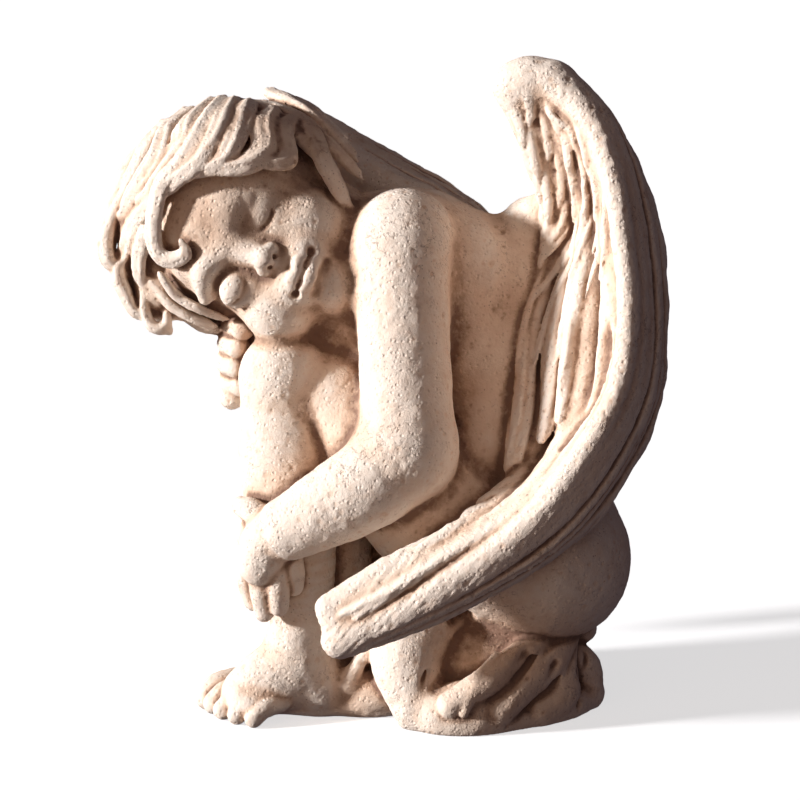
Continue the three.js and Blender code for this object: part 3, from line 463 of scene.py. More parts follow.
class Wing:
    """A thick cupped blade from its rounded shoulder to its swept tip, between four lengthwise curves.

    Places on it are given by t, along it from 0 at the top to 1 at the tip, and by a, round it: 0 at the
    inner edge, 1 at the crest, 2 at the outer face and 3 at the back."""

    def __init__(self, inner, crest, outer, back, hollow):
        self.rows = [np.array(r, float) for r in (inner, crest, outer, back)]
        self.hollow = np.array(hollow, float)

    def fill(self, f):
        inner, crest, outer, back = self.rows
        bow = self.hollow
        out = (crest - back) / np.linalg.norm(crest - back, axis=1)[:, None]
        bars = [
            (inner, 0.8), (inner * 0.6 + crest * 0.4 + bow * 0.8,
                           0.85), (inner * 0.25 + crest * 0.75 + bow, 0.85),
            (crest, 0.42), (crest * 0.72 + outer * 0.28 + out * 1.0,
                            0.6), (crest * 0.4 + outer * 0.6 + out * 2, 0.85),
            (outer, 0.9), (back, 0.9), ((outer + back) / 2 + bow * 0.3, 0.9),
            ((inner + crest + outer + back) / 4 + bow * 0.4, 1.0), ((inner + back) / 2, 0.9),
        ]
        for line, share in bars:
            f.tube(line, WING_THICK * share, soft=6, count=33)

    def line(self, a, count=65):
        """The lengthwise curve at a, and how thick the blade's skin is there."""
        k = min(int(a), 2)
        s = a - k
        row = self.rows[k] * (1 - s) + self.rows[k + 1] * s
        if k == 0:
            row = row + self.hollow * 4 * s * (1 - s)
        return curve(np.column_stack([row, WING_THICK * 0.86]), count)

    def at(self, t, a):
        """The place on the wing's skin, with the skin's normal and its direction down the wing."""
        round_edge = max(-a, 0.0) * math.pi / 2
        a = max(a, 0.0)
        da = 0.12
        low, high = max(a - da, 0.0), min(a + da, 3.0)
        here, one, two = self.line(a), self.line(low), self.line(high)
        i = t * (len(here) - 1)
        pick = lambda rows: np.array([np.interp(i, np.arange(len(rows)), rows[:, k]) for k in range(4)])
        p, across = pick(here), pick(two)[:3] - pick(one)[:3]
        j = min(i + 1, len(here) - 1)
        ahead = np.array([np.interp(j, np.arange(len(here)), here[:, k]) for k in range(3)])
        behind = np.array([np.interp(j - 2, np.arange(len(here)), here[:, k]) for k in range(3)])
        along = unit(ahead - behind)
        normal = unit(np.cross(along, across)) * self.turn
        normal = normal * math.cos(round_edge) - unit(across) * math.sin(round_edge)
        return p[:3] + normal * p[3], normal, along

    turn = 1.0

    def feather(self, f, start, end, wide, lift, soft=0.8, flat=0.42, tip=0.75, bend=0.0):
        """One flat feather lying on the skin from start to end, each a (t, a) pair. Its root is sunk flush
        and its tip raised by lift."""
        count = 7
        places, normals, sides = [], [], []
        along_it = np.linspace(0, 1, count)
        for s in along_it:
            t = start[0] + (end[0] - start[0]) * s
            a = start[1] + (end[1] - start[1]) * s + bend * math.sin(math.pi * s)
            place, normal, along = self.at(min(t, 0.999), min(a, 3))
            places.append(place)
            normals.append(normal)
            sides.append(np.cross(normal, along))
        emerged = np.minimum(2.5 * along_it, 1)
        height = f.rise(places, normals) + lift * along_it - wide * flat * (1 - 0.6 * emerged)
        places = np.array(places) + np.array(normals) * height[:, None]
        swell = wide * np.array([0.55, 0.85, 1.0, 1.0, 0.96, 0.88, tip])
        f.tube(places, swell, soft=soft, count=13, flat=flat, side=np.mean(sides, axis=0))


NEAR = Wing(
    inner=[(55, -46, 334), (70, -43, 306), (85, -32, 270), (84, -27, 240), (74, -34, 200), (68, -60, 140),
           (38, -82, 111), (-5, -92, 94), (-36, -94, 75)],
    crest=[(74, -56, 337), (93, -68, 319), (104, -81, 291), (109, -89, 262), (112, -95, 222),
           (103, -101, 178),
           (64, -104, 122), (9, -104, 83), (-34, -97, 60)],
    outer=[(82, -42, 334), (99, -46, 312), (113, -48, 285), (123, -50, 252), (125, -56, 210),
           (118, -66, 166),
           (84, -82, 116), (26, -94, 79), (-28, -93, 57)],
    back=[(72, -34, 332), (90, -22, 306), (102, -10, 280), (107, -8, 250), (104, -16, 205), (98, -34, 165),
          (72, -64, 124), (18, -88, 92), (-30, -92, 69)],
    hollow=(8, 3, 0))

FAR = Wing(
    inner=[(-62, 66, 305), (-42, 70, 291), (-9, 72, 268), (10, 74, 238), (14, 80, 200), (12, 88, 148),
           (0, 90, 118), (-20, 88, 96), (-40, 80, 76)],
    crest=[(-54, 72, 307), (-30, 86, 295), (2, 98, 275), (20, 106, 250), (26, 110, 215), (22, 108, 175),
           (6, 104, 124), (-18, 94, 86), (-42, 82, 62)],
    outer=[(-44, 68, 305), (-18, 72, 287), (22, 74, 265), (46, 74, 243), (50, 78, 200), (46, 80, 160),
           (24, 88, 115), (-6, 88, 80), (-36, 78, 58)],
    back=[(-50, 60, 303), (-24, 52, 285), (20, 42, 260), (47, 42, 239), (52, 50, 200), (46, 62, 162),
          (22, 78, 116), (-8, 80, 84), (-36, 76, 66)],
    hollow=(4, -3, 0))
FAR.turn = -1.0


def wing_roots(f):
    f.tube([(50, -12, 236), (78, -20, 251), (84, -34, 286)], [18, 14, 12], soft=7)
    f.tube([(50, -6, 225), (84, -14, 225), (104, -24, 235)], [26, 20, 12], soft=10)
    f.tube([(50, -6, 180), (84, -20, 175), (100, -40, 170)], [26, 20, 12], soft=10)
    f.tube([(50, -10, 145), (84, -40, 150)], [26, 14], soft=10)
    f.tube([(68, -18, 262), (64, -20, 230), (58, -26, 195), (48, -40, 150)], [14, 16, 17, 16], soft=10)
    f.oval((66, -46, 335), (17, 14, 14), soft=8)
    f.tube([(72, -42, 170), (68, -50, 150)], [15, 14], soft=6)
    f.tube([(40, 10, 234), (26, 28, 246), (12, 50, 264)], [22, 18, 14], soft=10)


def groove(f, w, start, end, wide, deep, soft=1.2, bow=0.0):
    """A long groove cut into the wing's skin between two (t, a) places."""
    places, normals = [], []
    for s in np.linspace(0, 1, 7):
        t = start[0] + (end[0] - start[0]) * s
        a = start[1] + (end[1] - start[1]) * s + bow * math.sin(math.pi * s)
        place, normal, _ = w.at(min(t, 0.999), a)
        places.append(place)
        normals.append(normal)
    height = f.rise(places, normals) + wide - deep
    places = np.array(places) + np.array(normals) * height[:, None]
    f.tube(places, wide * np.array([0.3, 0.8, 1, 1, 1, 0.8, 0.3]), soft=soft, count=19, carve=True)


def lower_blade(f, w):
    """Flight feathers drawn down to the tip, nearly flush, with ragged tips along the inner edge."""
    for k in range(4):
        a = 0.10 + 0.22 * k
        w.feather(f, (0.66 + 0.05 * (k % 2), a), (0.99 - 0.04 * (1 - a), a * 0.92), 4.6, 0.3, soft=2.2,
                  flat=0.4)
    for k in range(9):
        t = 0.655 + 0.016 * k
        reach = 0.035 + 0.012 * math.sin(2.7 * k)
        w.feather(f, (t, 0.12), (t + reach, -0.30 - 0.08 * (k % 2)), 2.4, 1.6, soft=0.8, flat=0.6,
                  tip=0.45)


def outer_side(f, w):
    """Long grooves and overlapping feathers round the outer face and the back."""
    for k in range(7):
        t = 0.18 + 0.085 * k
        w.feather(f, (t, 1.95), (t + 0.16, 2.25), 5.0, 1.0, soft=2, flat=0.5, tip=0.5)
        w.feather(f, (t + 0.03, 1.55), (t + 0.19, 1.75), 4.0, 0.8, soft=2, flat=0.5, tip=0.5)
    for k in range(7):
        a = 1.35 + 0.24 * k
        groove(f, w, (0.12 + 0.07 * (k % 3), a), (0.55 + 0.05 * (k % 2), a + 0.10), 2.2, 1.5)
        groove(f, w, (0.50 + 0.06 * (k % 2), a + 0.12), (0.97, a), 2.0, 1.3)


def covert_layer(f, w):
    """The thick layer of long coverts in the hollow, parted from the rim by gaps."""
    groove(f, w, (0.40, 0.90), (0.50, 0.90), 3.2, 3.2)
    groove(f, w, (0.50, 0.84), (0.66, 0.60), 5.5, 4.5, bow=0.06)
    for a in (-0.5, -0.25, 0.0, 0.2, 0.4):
        w.feather(f, (0.30, a + 0.06), (0.625 - 0.06 * max(a, 0), a * 0.9), 5.4, 3.0, soft=2.5,
                  flat=0.6, tip=0.6)
    for k in range(9):
        a = -0.75 + 0.14 * k
        end = 0.605 + 0.022 * math.sin(2.1 * k) - 0.03 * max(a, 0)
        w.feather(f, (0.40 + 0.03 * (k % 3), a + 0.05), (end, a), 2.6, 1.3, soft=0.5, flat=0.7, tip=0.4,
                  bend=0.03)
    for k in range(6):
        a = -0.65 + 0.19 * k
        end = 0.535 + 0.02 * math.sin(3.1 * k)
        w.feather(f, (0.36, a + 0.08), (end, a - 0.03), 2.5, 1.6, soft=0.5, flat=0.7, tip=0.35, bend=0.04)


def short_coverts(f, w):
    """Rows of narrow hanging feathers above the long coverts, each row lying over the one below it."""
    rows = [(0.31, 0.44, 8, 2.4), (0.25, 0.375, 7, 2.4), (0.18, 0.305, 6, 2.5), (0.12, 0.235, 6, 2.6),
            (0.065, 0.170, 5, 2.9), (0.015, 0.105, 4, 3.1)]
    for n, (top, bottom, many, wide) in enumerate(rows):
        for k in range(many):
            a = -0.55 + 1.45 * (k + 0.3 + 0.4 * (n % 2)) / many
            drop = 0.020 * math.sin(2.3 * k + 1.7 * n)
            w.feather(f, (top + drop, a + 0.12), (bottom + drop, a - 0.04), wide, 1.5, soft=0.4,
                      flat=0.55, tip=0.35, bend=0.03)


def plumage(f, w):
    lower_blade(f, w)
    outer_side(f, w)
    covert_layer(f, w)
    short_coverts(f, w)


# ---------------------- mound

def mound(f):
    f.oval((38, 8, 14), (70, 52, 32), soft=10)
    f.oval((48, -26, 26), (44, 32, 32), soft=10)
    f.oval((-34, -2, 4), (58, 42, 9), soft=6)


def cloth(f):
    """The bunched cloth: rolls and pleats standing on the mound, with hollows between them."""
    f.oval((-14, -28, 12), (24, 20, 16), soft=8)
    f.tube([(-12, -38, 46), (-20, -43, 34), (-28, -43, 20)], [5, 4, 4], soft=6)
    f.tube([(6, -60, 5), (24, -68, 5), (42, -68, 5), (62, -57, 5), (86, -44, 6), (102, -24, 7)],
           [6, 7, 7, 8, 8, 8], soft=4)
    f.tube([(16, -38, 56), (4, -48, 38), (8, -56, 14)], [18, 20, 14], soft=5)
    f.tube([(20, -64, 12), (34, -64, 15), (48, -62, 12)], [11, 12, 11], soft=5)
    f.tube([(30, -48, 62), (34, -66, 46), (26, -80, 28)], [7, 9, 7], soft=2, carve=True)
    f.tube([(74, -50, 46), (60, -60, 36), (44, -68, 27), (26, -73, 17)], [8, 8.5, 8, 7], soft=2)
    f.tube([(66, -66, 42), (56, -80, 30), (44, -86, 20)], [4, 5, 3], soft=2, carve=True)
    f.tube([(86, -42, 44), (78, -52, 34), (64, -60, 25), (52, -66, 13)], [9, 10, 10, 9], soft=2)
    f.tube([(82, -62, 36), (78, -70, 24), (68, -76, 14)], [3, 5, 4], soft=2, carve=True)
    f.tube([(82, -44, 34), (84, -46, 18), (74, -52, 9)], [9, 12, 10], soft=3)
    f.oval((90, -18, 42), (17, 14, 9), soft=3)
    f.tube([(84, -32, 33), (98, -28, 24), (101, -24, 8)], [10, 10, 9], soft=3)
    f.tube([(94, -50, 32), (104, -42, 14)], [3, 5], soft=3, carve=True)
    creases = [
        ([(72, -58, 42), (60, -71, 29), (48, -79, 15)], 2.6),
        ([(84, -50, 34), (80, -61, 22), (72, -68, 8)], 2.4),
        ([(100, -34, 36), (99, -42, 22), (95, -46, 8)], 2.4),
        ([(14, -60, 40), (12, -72, 22), (20, -80, 8)], 1.8),
    ]
    for path, wide in creases:
        f.tube(path, [0.6 * wide, wide, 0.7 * wide], soft=1.5, carve=True)
    ridges = [([(50, -62, 40), (38, -73, 27), (33, -77, 14)], 3.4),
              ([(92, -36, 44), (90, -48, 32), (86, -54, 16)], 3.6)]
    for path, wide in ridges:
        f.tube(path, [0.7 * wide, wide, 0.8 * wide], soft=1.5)


# ---------------------- meshing

def skin(f):
    """Square faces on the field's zero surface, one corner in each grid cell the surface crosses."""
    d = f.d
    inside = d < 0
    nx, ny, nz = d.shape
    corners = [(i, j, k) for i in (0, 1) for j in (0, 1) for k in (0, 1)]
    filled = sum(inside[i:nx - 1 + i, j:ny - 1 + j, k:nz - 1 + k].astype(np.int8) for i, j, k in corners)
    active = (filled > 0) & (filled < 8)
    cells = np.argwhere(active)
    number = np.full(active.shape, -1, np.int32)
    number[active] = np.arange(len(cells))
    x, y, z = cells.T
    values = {c: d[x + c[0], y + c[1], z + c[2]].astype(float) for c in corners}
    total, hits = np.zeros((len(cells), 3)), np.zeros(len(cells))
    for c in corners:
        for axis in range(3):
            if c[axis]:
                continue
            other = tuple(1 if n == axis else c[n] for n in range(3))
            a, b = values[c], values[other]
            crossed = (a < 0) != (b < 0)
            place = np.tile(np.array(c, float), (len(cells), 1))
            place[:, axis] = np.where(crossed, a / np.where(crossed, a - b, 1), 0)
            total[crossed] += place[crossed]
            hits[crossed] += 1
    points = f.low + f.step * (cells + total / hits[:, None])
    faces = []
    for axis in range(3):
        u, v = [n for n in range(3) if n != axis]
        low, high = [slice(1, -1)] * 3, [slice(1, -1)] * 3
        low[axis], high[axis] = slice(0, -1), slice(1, None)
        a, b = inside[tuple(low)], inside[tuple(high)]
        for leaving in (True, False):
            edges = np.argwhere(a & ~b if leaving else ~a & b) + 1
            edges[:, axis] -= 1
            ring = []
            for du, dv in ((-1, -1), (0, -1), (0, 0), (-1, 0)):
                cell = edges.copy()
                cell[:, u] += du
                cell[:, v] += dv
                ring.append(number[cell[:, 0], cell[:, 1], cell[:, 2]])
            if leaving == (axis == 1):
                ring.reverse()
            faces.append(np.stack(ring, 1))
    return points, np.concatenate(faces)


def sculpt():
    f = Field(BLOCK_LOW, BLOCK_HIGH, STEP)
    torso(f)
    left_leg(f)
    left_foot(f)
    right_leg(f)
    mound(f)
    cloth(f)
    face(f)
    hair(f)
    right_arm(f)
    right_fingers(f)
    left_arm(f)
    left_hand(f)
    wing_roots(f)
    NEAR.fill(f)
    FAR.fill(f)
    plumage(f, NEAR)
    plumage(f, FAR)
    f.d = np.maximum(f.d, -f.axes[2][None, None, :])
    return f


# ---------------------- weathered surface and painted shade

ROUGH_PATCHES = [                 # crumbled places: middle, radius and strength, mm
    ((-58, -54, 186), 20, 0.8),   # knee
    ((-14, -74, 222), 24, 0.7),   # upper arm
    ((-4, -92, 150), 18, 0.6),    # elbow
    ((-34, -88, 126), 18, 0.7),   # forearm
    ((-50, -62, 246), 12, 0.6),   # cheek
    ((-2, -52, 278), 16, 0.6),    # shoulder
    ((-68, -40, 30), 16, 0.5),    # instep
    ((-8, 80, 290), 26, 0.8),     # inner face of the far wing
]
PAINTED_SHADE_PATCHES = [                       # places painted brown as shade: middle, radius and strength
    ((-48, -34, 300), 36, 0.46),  # hair over the temple
    ((-94, -52, 268), 22, 0.30),  # forehead, painted shadow of the locks
    ((62, -56, 20), 50, 0.42),    # cloth
    ((-24, -36, 14), 18, 0.40),   # hollow beside the foot
    ((2, -30, 290), 20, 0.12),    # back of the shoulder
    ((52, -46, 196), 30, 0.14),   # long coverts against the back
    ((98, -94, 212), 14, 0.26),   # gap behind the crest
    ((92, -96, 184), 16, 0.26),   # its lower end
]
CREST_ROUGH = 1.0                 # strength of the crumbling along the wing's raised crest
BARB_ACROSS = (0.75, 0.1, -0.65)  # direction square to the fine ribs of the lower blade
BARB_APART = 3.4                  # mm


def scatter(cell, seed):
    """A repeatable random number from 0 to 1 for each whole-number place."""
    x, y, z = (cell[..., k].astype(np.uint32) for k in range(3))
    h = x * np.uint32(374761393) ^ y * np.uint32(668265263) ^ z * np.uint32(2246822519)
    h = h ^ np.uint32((seed + SEED) * 97531 + 12345)
    h = (h ^ (h >> np.uint32(13))) * np.uint32(1274126177)
    h = (h ^ (h >> np.uint32(16))) * np.uint32(2654435761)
    return (h >> np.uint32(8)).astype(np.float32) / 16777216


def clouds(points, size, seed):
    """Smooth noise from -1 to 1 with its humps about one size apart."""
    p = points / size
    base = np.floor(p).astype(np.int64)
    t = p - base
    t = t * t * (3 - 2 * t)
    total = np.zeros(len(p))
    for i in (0, 1):
        for j in (0, 1):
            for k in (0, 1):
                share = np.abs(1 - i - t[:, 0]) * np.abs(1 - j - t[:, 1]) * np.abs(1 - k - t[:, 2])
                total += share * scatter(base + (i, j, k), seed)
    return 2 * total - 1


def pits(points, size, seed, share):
    """Small round casting pits, about one size apart: 0 outside them and 1 at their middles."""
    p = points / size
    base = np.floor(p).astype(np.int64)
    deepest = np.zeros(len(p))
    for i in (-1, 0, 1):
        for j in (-1, 0, 1):
            for k in (-1, 0, 1):
                cell = base + (i, j, k)
                centre = cell + np.stack([scatter(cell, seed + n) for n in (1, 2, 3)], 1)
                radius = np.where(scatter(cell, seed + 5) < share, 0.16 + 0.3 * scatter(cell, seed + 4),
                        1e-6)
                away = ((p - centre) ** 2).sum(1) / radius**2
                deepest = np.maximum(deepest, 1 - away)
    return deepest


def patches(points, places):
    """How strongly a list of patches acts at each point, fading out from the middle of each."""
    most = np.zeros(len(points))
    for middle, radius, strength in places:
        away = np.linalg.norm(points - np.array(middle), axis=1) / radius
        most = np.maximum(most, strength * np.clip(1.25 - away, 0, 1))
    return most


def soften(volume, reach, times=2):
    """The volume averaged over a box reach cells to each side, some times over."""
    for _ in range(times):
        for axis in range(3):
            wide = [(0, 0)] * 3
            wide[axis] = (reach + 1, reach)
            total = np.cumsum(np.pad(volume, wide, mode="edge"), axis=axis, dtype=np.float32)
            high, low = [slice(None)] * 3, [slice(None)] * 3
            high[axis], low[axis] = slice(2 * reach + 1, None), slice(0, -2 * reach - 1)
            volume = (total[tuple(high)] - total[tuple(low)]) / (2 * reach + 1)
    return volume


def hollows(f, points, reach, skip):
    """How deep each point lies in a hollow: above 0 in creases and below 0 on ridges."""
    filled = np.clip(0.5 - f.d[::skip, ::skip, ::skip] / (2 * f.step * skip), 0, 1)
    filled = soften(filled, reach)
    return 2 * between(filled, (points - f.low) / (f.step * skip)) - 1


def normals_of(points, faces):
    a, b, c, d = (points[faces[:, k]] for k in range(4))
    facing = np.cross(c - a, d - b)
    total = np.zeros(points.shape)
    for axis in range(3):
        for k in range(4):
            total[:, axis] += np.bincount(faces[:, k], facing[:, axis], len(points))
    return total / np.maximum(np.linalg.norm(total, axis=1), 1e-9)[:, None]


def barbs(points):
    """Fine slanting ribs on the inner face of the near wing's lower blade."""
    middle = NEAR.line(0.5)[40:, :3]
    near = np.full(len(points), 1e9)
    for place in middle:
        near = np.minimum(near, ((points - place) ** 2).sum(1))
    here = np.clip(1.6 - np.sqrt(near) / 18, 0, 1)
    ribs = np.sin(2 * math.pi * (points @ unit(BARB_ACROSS)) / BARB_APART + 1.5 * clouds(points, 12, 41))
    return here * ribs * (0.6 + 0.6 * clouds(points, 9, 42))


def weather(f, points, faces):
    """Roughens the skin with sand grain, pits and crumbled patches, and says how dark each point is painted:
    patina and painted shade in the creases, hollows and pits, painted shade on the listed patches, and paler
    ridges.
    """
    normals = normals_of(points, faces)
    crest = curve(NEAR.rows[1], 40)
    rough = patches(points, ROUGH_PATCHES + [(place, 11, CREST_ROUGH) for place in crest])
    rough *= 0.5 + 0.5 * clouds(points, 7, 3)
    rough = np.clip(rough, 0, 1)
    grain = 0.30 * clouds(points, 11, 11) + 0.20 * clouds(points, 4.5, 12) + 0.16 * clouds(points, 2.3, 13)
    crumble = rough * (0.6 * clouds(points, 3.1, 14) + 0.45 * clouds(points, 1.9, 15))
    small = pits(points, 4.2, 20, 0.35)
    coarse = pits(points, 3.4, 30, 0.9) * rough
    lift = grain + crumble - 0.45 * small - 0.9 * coarse + 0.32 * barbs(points)
    floor = points[:, 2] < 0.6
    lift[floor] = 0
    fine = hollows(f, points, 2, 1)
    broad = hollows(f, points, 5, 2)
    points = points + normals * lift[:, None]
    # Painted shade, with some patina: creases, broad hollows and pits come out darker. Ridges come out below 0
    # and are painted paler.
    grime_and_shade = 2.8 * np.clip(fine, -0.05, 1) + 0.7 * np.clip(broad, -0.1, 1) + 0.25 * small + 0.4 * coarse
    # Painted shade on the listed places, where shade falls
    grime_and_shade += patches(points, PAINTED_SHADE_PATCHES) * (0.8 + 0.4 * clouds(points, 14, 4))
    return points, normals_of(points, faces), grime_and_shade


def band(name, points, faces, normals, grime_and_shade):
    """One piece of the skin, with the normals of the whole so that no seam shows."""
    used, faces = np.unique(faces, return_inverse=True)
    faces = faces.reshape(-1, 4)
    mesh = bpy.data.meshes.new(name)
    mesh.vertices.add(len(used))
    mesh.vertices.foreach_set("co", points[used].astype(np.float32).ravel())
    mesh.loops.add(len(faces) * 4)
    mesh.loops.foreach_set("vertex_index", faces.astype(np.int32).ravel())
    mesh.polygons.add(len(faces))
    mesh.polygons.foreach_set("loop_start", np.arange(0, len(faces) * 4, 4, dtype=np.int32))
    mesh.update(calc_edges=True)
    mesh.polygons.foreach_set("use_smooth", np.ones(len(mesh.polygons), bool))
    mesh.normals_split_custom_set_from_vertices(normals[used])
    # Each point's darkening: patina, plus painted shade in the hollows and on the listed patches
    stored = mesh.attributes.new("grime_and_shade", "FLOAT", "POINT")
    stored.data.foreach_set("value", grime_and_shade[used].astype(np.float32))
    piece = bpy.data.objects.new(name, mesh)
    bpy.context.collection.objects.link(piece)
    return piece


def build_statue():
    f = sculpt()
    points, faces = skin(f)
    points, normals, grime_and_shade = weather(f, points, faces)
    points = (points - np.array([MIDDLE[0], MIDDLE[1], 0])) * 0.001
    height = points[faces, 2].mean(1)
    order = np.argsort(height, kind="stable")
    return [band("putto_carving_%d" % (n + 1), points, faces[part], normals, grime_and_shade)
            for n, part in enumerate(np.array_split(order, PIECES))]


# ---------------------- stone

# The tan and the darkest brown paint the shade in creases and hollows, on top of the stone's own stains,
# specks and cracks. The near-white paints ridges paler, partly as wear and partly as painted highlight.
CREAM = (0.80, 0.60, 0.455, 1)
PALE = (0.88, 0.735, 0.60, 1)
TAN = (0.60, 0.405, 0.28, 1)
EARTH_AND_SHADE = (0.22, 0.125, 0.085, 1)
PALE_WEAR_AND_HIGHLIGHT = (0.93, 0.84, 0.74, 1)


class Nodes:
    """Builds a material's nodes one line at a time."""

    def __init__(self, name):
        self.material = bpy.data.materials.new(name)
        self.material.use_nodes = True
        self.tree = self.material.node_tree
        self.shader = self.tree.nodes["Principled BSDF"]
        self.place = self.tree.nodes.new("ShaderNodeTexCoord").outputs["Object"]

    def link(self, a, b):
        self.tree.links.new(a, b)

    def noise(self, scale, detail=3.0, rough=0.6):
        node = self.tree.nodes.new("ShaderNodeTexNoise")
        node.inputs["Scale"].default_value = scale
        node.inputs["Detail"].default_value = detail
        node.inputs["Roughness"].default_value = rough
        self.link(self.place, node.inputs["Vector"])
        return node.outputs["Fac"]

    def spots(self, scale):
        node = self.tree.nodes.new("ShaderNodeTexVoronoi")
        node.inputs["Scale"].default_value = scale
        self.link(self.place, node.inputs["Vector"])
        return node.outputs["Distance"]

    def span(self, value, low, high, to_low=0.0, to_high=1.0):
        """Maps a value from one range onto another, held at both ends."""
        node = self.tree.nodes.new("ShaderNodeMapRange")
        for name, number in (("From Min", low), ("From Max", high), ("To Min", to_low),
                             ("To Max", to_high)):
            node.inputs[name].default_value = number
        self.link(value, node.inputs["Value"])
        return node.outputs["Result"]

    def math(self, kind, a, b):
        node = self.tree.nodes.new("ShaderNodeMath")
        node.operation = kind
        for socket, value in zip(node.inputs, (a, b)):
            if isinstance(value, (int, float)):
                socket.default_value = value
            else:
                self.link(value, socket)
        return node.outputs["Value"]

    def blend(self, share, a, b):
        node = self.tree.nodes.new("ShaderNodeMix")
        node.data_type = "RGBA"
        self.link(share, node.inputs["Factor"])
        for socket, colour in (("A", a), ("B", b)):
            target = [i for i in node.inputs if i.name == socket and i.type == "RGBA"][0]
            if isinstance(colour, tuple):
                target.default_value = colour
            else:
                self.link(colour, target)
        return [o for o in node.outputs if o.type == "RGBA"][0]

    def attribute(self, name):
        node = self.tree.nodes.new("ShaderNodeAttribute")
        node.attribute_name = name
        return node.outputs["Fac"]

    def bump(self, height, strength, distance, onto=None):
        node = self.tree.nodes.new("ShaderNodeBump")
        node.inputs["Strength"].default_value = strength
        node.inputs["Distance"].default_value = distance
        self.link(height, node.inputs["Height"])
        if onto is not None:
            self.link(onto, node.inputs["Normal"])
        return node.outputs["Normal"]


def stone_material():
    """Cream cast stone: mottled, with brown patina and painted shade in the hollows, ridges painted paler as
    wear and painted highlight, sand grain and small pits.
    """
    n = Nodes("stone")
    n.shader.inputs["Roughness"].default_value = 0.9
    mottle = n.span(n.noise(32, 4), 0.35, 0.68)
    body = n.blend(mottle, CREAM, PALE)
    stain = n.span(n.noise(70, 5, 0.7), 0.50, 0.74, 0.0, 0.55)
    body = n.blend(stain, body, TAN)
    uneven = n.span(n.noise(160, 4, 0.7), 0.3, 0.7, 0.45, 1.35)
    grime_and_shade = n.math("MULTIPLY", n.attribute("grime_and_shade"), uneven)
    # Ridges are painted paler: partly wear, partly painted highlight
    body = n.blend(n.span(grime_and_shade, -0.20, -0.03, 0.70, 0.0), body, PALE_WEAR_AND_HIGHLIGHT)
    # Creases and hollows are painted tan, then dark brown: patina and painted shade
    body = n.blend(n.span(grime_and_shade, 0.02, 0.24, 0.0, 0.85), body, TAN)
    body = n.blend(n.span(grime_and_shade, 0.16, 0.60, 0.0, 0.92), body, EARTH_AND_SHADE)
    specks = n.span(n.spots(420), 0.10, 0.22, 0.55, 0.0)
    thin = n.span(n.noise(55, 2), 0.45, 0.6)
    body = n.blend(n.math("MULTIPLY", specks, thin), body, EARTH_AND_SHADE)
    vein = n.math("ABSOLUTE", n.math("SUBTRACT", n.noise(75, 4, 0.65), 0.5), 0)
    crack = n.math("MULTIPLY", n.span(vein, 0.0, 0.011, 1.0, 0.0), n.span(n.noise(26, 2), 0.54, 0.62))
    body = n.blend(n.math("MULTIPLY", crack, 0.5), body, EARTH_AND_SHADE)
    n.link(body, n.shader.inputs["Base Color"])
    sand = n.bump(n.noise(650, 3, 0.75), 0.6, 0.0009)
    pitted = n.bump(n.span(n.spots(330), 0.08, 0.35), 0.5, 0.0008, sand)
    cracked = n.bump(n.math("SUBTRACT", 1.0, crack), 0.5, 0.0008, pitted)
    n.link(cracked, n.shader.inputs["Normal"])
    return n.material


# ---------------------- studio

def aim(item, target):
    item.rotation_euler = (Vector(target) - item.location).to_track_quat("-Z", "Y").to_euler()


def sun(name, place, target, energy, spread, colour):
    data = bpy.data.lights.new(name, "SUN")
    data.energy = energy
    data.angle = math.radians(spread)
    data.color = colour
    item = bpy.data.objects.new(name, data)
    bpy.context.collection.objects.link(item)
    item.location = place
    aim(item, target)


def stage_piece(name, corners, faces, shade, glow):
    """A plain pale part of the studio, which the statue takes no coloured light from."""
    mesh = bpy.data.meshes.new(name)
    mesh.from_pydata(corners, [], faces)
    pale = bpy.data.materials.new(name)
    pale.use_nodes = True
    shader = pale.node_tree.nodes["Principled BSDF"]
    shader.inputs["Base Color"].default_value = (shade, shade, shade, 1)
    shader.inputs["Emission Color"].default_value = (1, 1, 1, 1)
    shader.inputs["Emission Strength"].default_value = glow
    shader.inputs["Specular IOR Level"].default_value = 0
    shader.inputs["Roughness"].default_value = 0.9
    mesh.materials.append(pale)
    item = bpy.data.objects.new(name, mesh)
    item.visible_diffuse = False
    item.visible_glossy = False
    bpy.context.collection.objects.link(item)
    return item


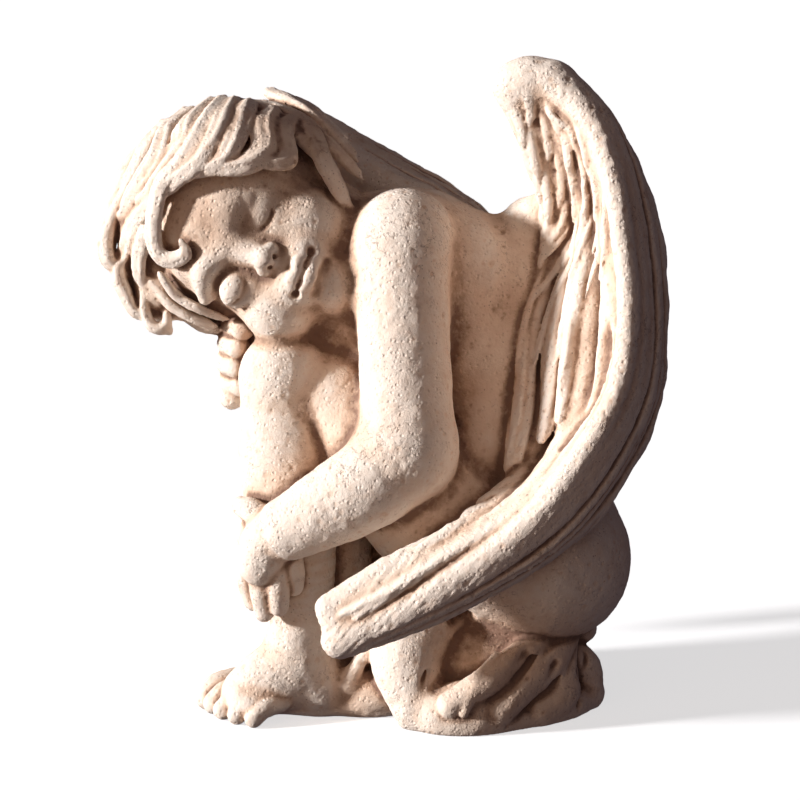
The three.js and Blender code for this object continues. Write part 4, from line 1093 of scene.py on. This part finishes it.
STUDIO_REACH = 80.0               # half the width of the floor, m
STUDIO_TALL = 60.0                # height of the backdrop's walls, m
AIM_HEIGHT = 0.1646               # height the camera looks at, m
CAMERA_AWAY = 1.15                # m
CAMERA_DOWN = math.radians(10)    # how far the camera looks down
LENS = 95.8                       # mm, on a film 36 mm wide
FILM = 36
AMBIENT_COLOUR = (1.0, 0.80, 0.95, 1)
AMBIENT = 0.06


def room():
    """A pale floor inside four pale walls that cast no shadow."""
    near, far = -STUDIO_REACH, STUDIO_REACH
    corners = [(near, near, 0), (far, near, 0), (far, far, 0), (near, far, 0)]
    stage_piece("floor", corners, [(0, 1, 2, 3)], shade=0.8, glow=0.64)
    raised = [(x, y, STUDIO_TALL) for x, y, _ in corners]
    walls = [(k, (k + 1) % 4, (k + 1) % 4 + 4, k + 4) for k in range(4)]
    backdrop = stage_piece("backdrop", corners + raised, walls, shade=0.0, glow=1.1)
    backdrop.visible_shadow = False


def camera(look_at):
    data = bpy.data.cameras.new("camera")
    data.lens = LENS
    data.sensor_width = FILM
    item = bpy.data.objects.new("camera", data)
    bpy.context.collection.objects.link(item)
    back, up = CAMERA_AWAY * math.cos(CAMERA_DOWN), CAMERA_AWAY * math.sin(CAMERA_DOWN)
    item.location = (look_at[0], look_at[1] - back, look_at[2] + up)
    aim(item, look_at)
    bpy.context.scene.camera = item


def studio():
    look_at = (-MIDDLE[0] * 0.001, -MIDDLE[1] * 0.001, AIM_HEIGHT)
    room()
    camera(look_at)
    sun("key", (-1.8, -0.50, 0.62), look_at, energy=5.7, spread=6, colour=(1.0, 0.975, 0.98))
    sun("fill", (-1.0, -1.8, 0.5), look_at, energy=0.42, spread=60, colour=(1.0, 0.74, 0.56))
    bpy.context.scene.view_settings.view_transform = "Standard"
    world = bpy.data.worlds.new("world")
    bpy.context.scene.world = world
    world.use_nodes = True
    background = world.node_tree.nodes["Background"].inputs
    background["Color"].default_value = AMBIENT_COLOUR
    background["Strength"].default_value = AMBIENT


stone = stone_material()
for carving in build_statue():
    carving.data.materials.append(stone)
    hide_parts("putto_statue")
    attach(carving, "root")
studio()
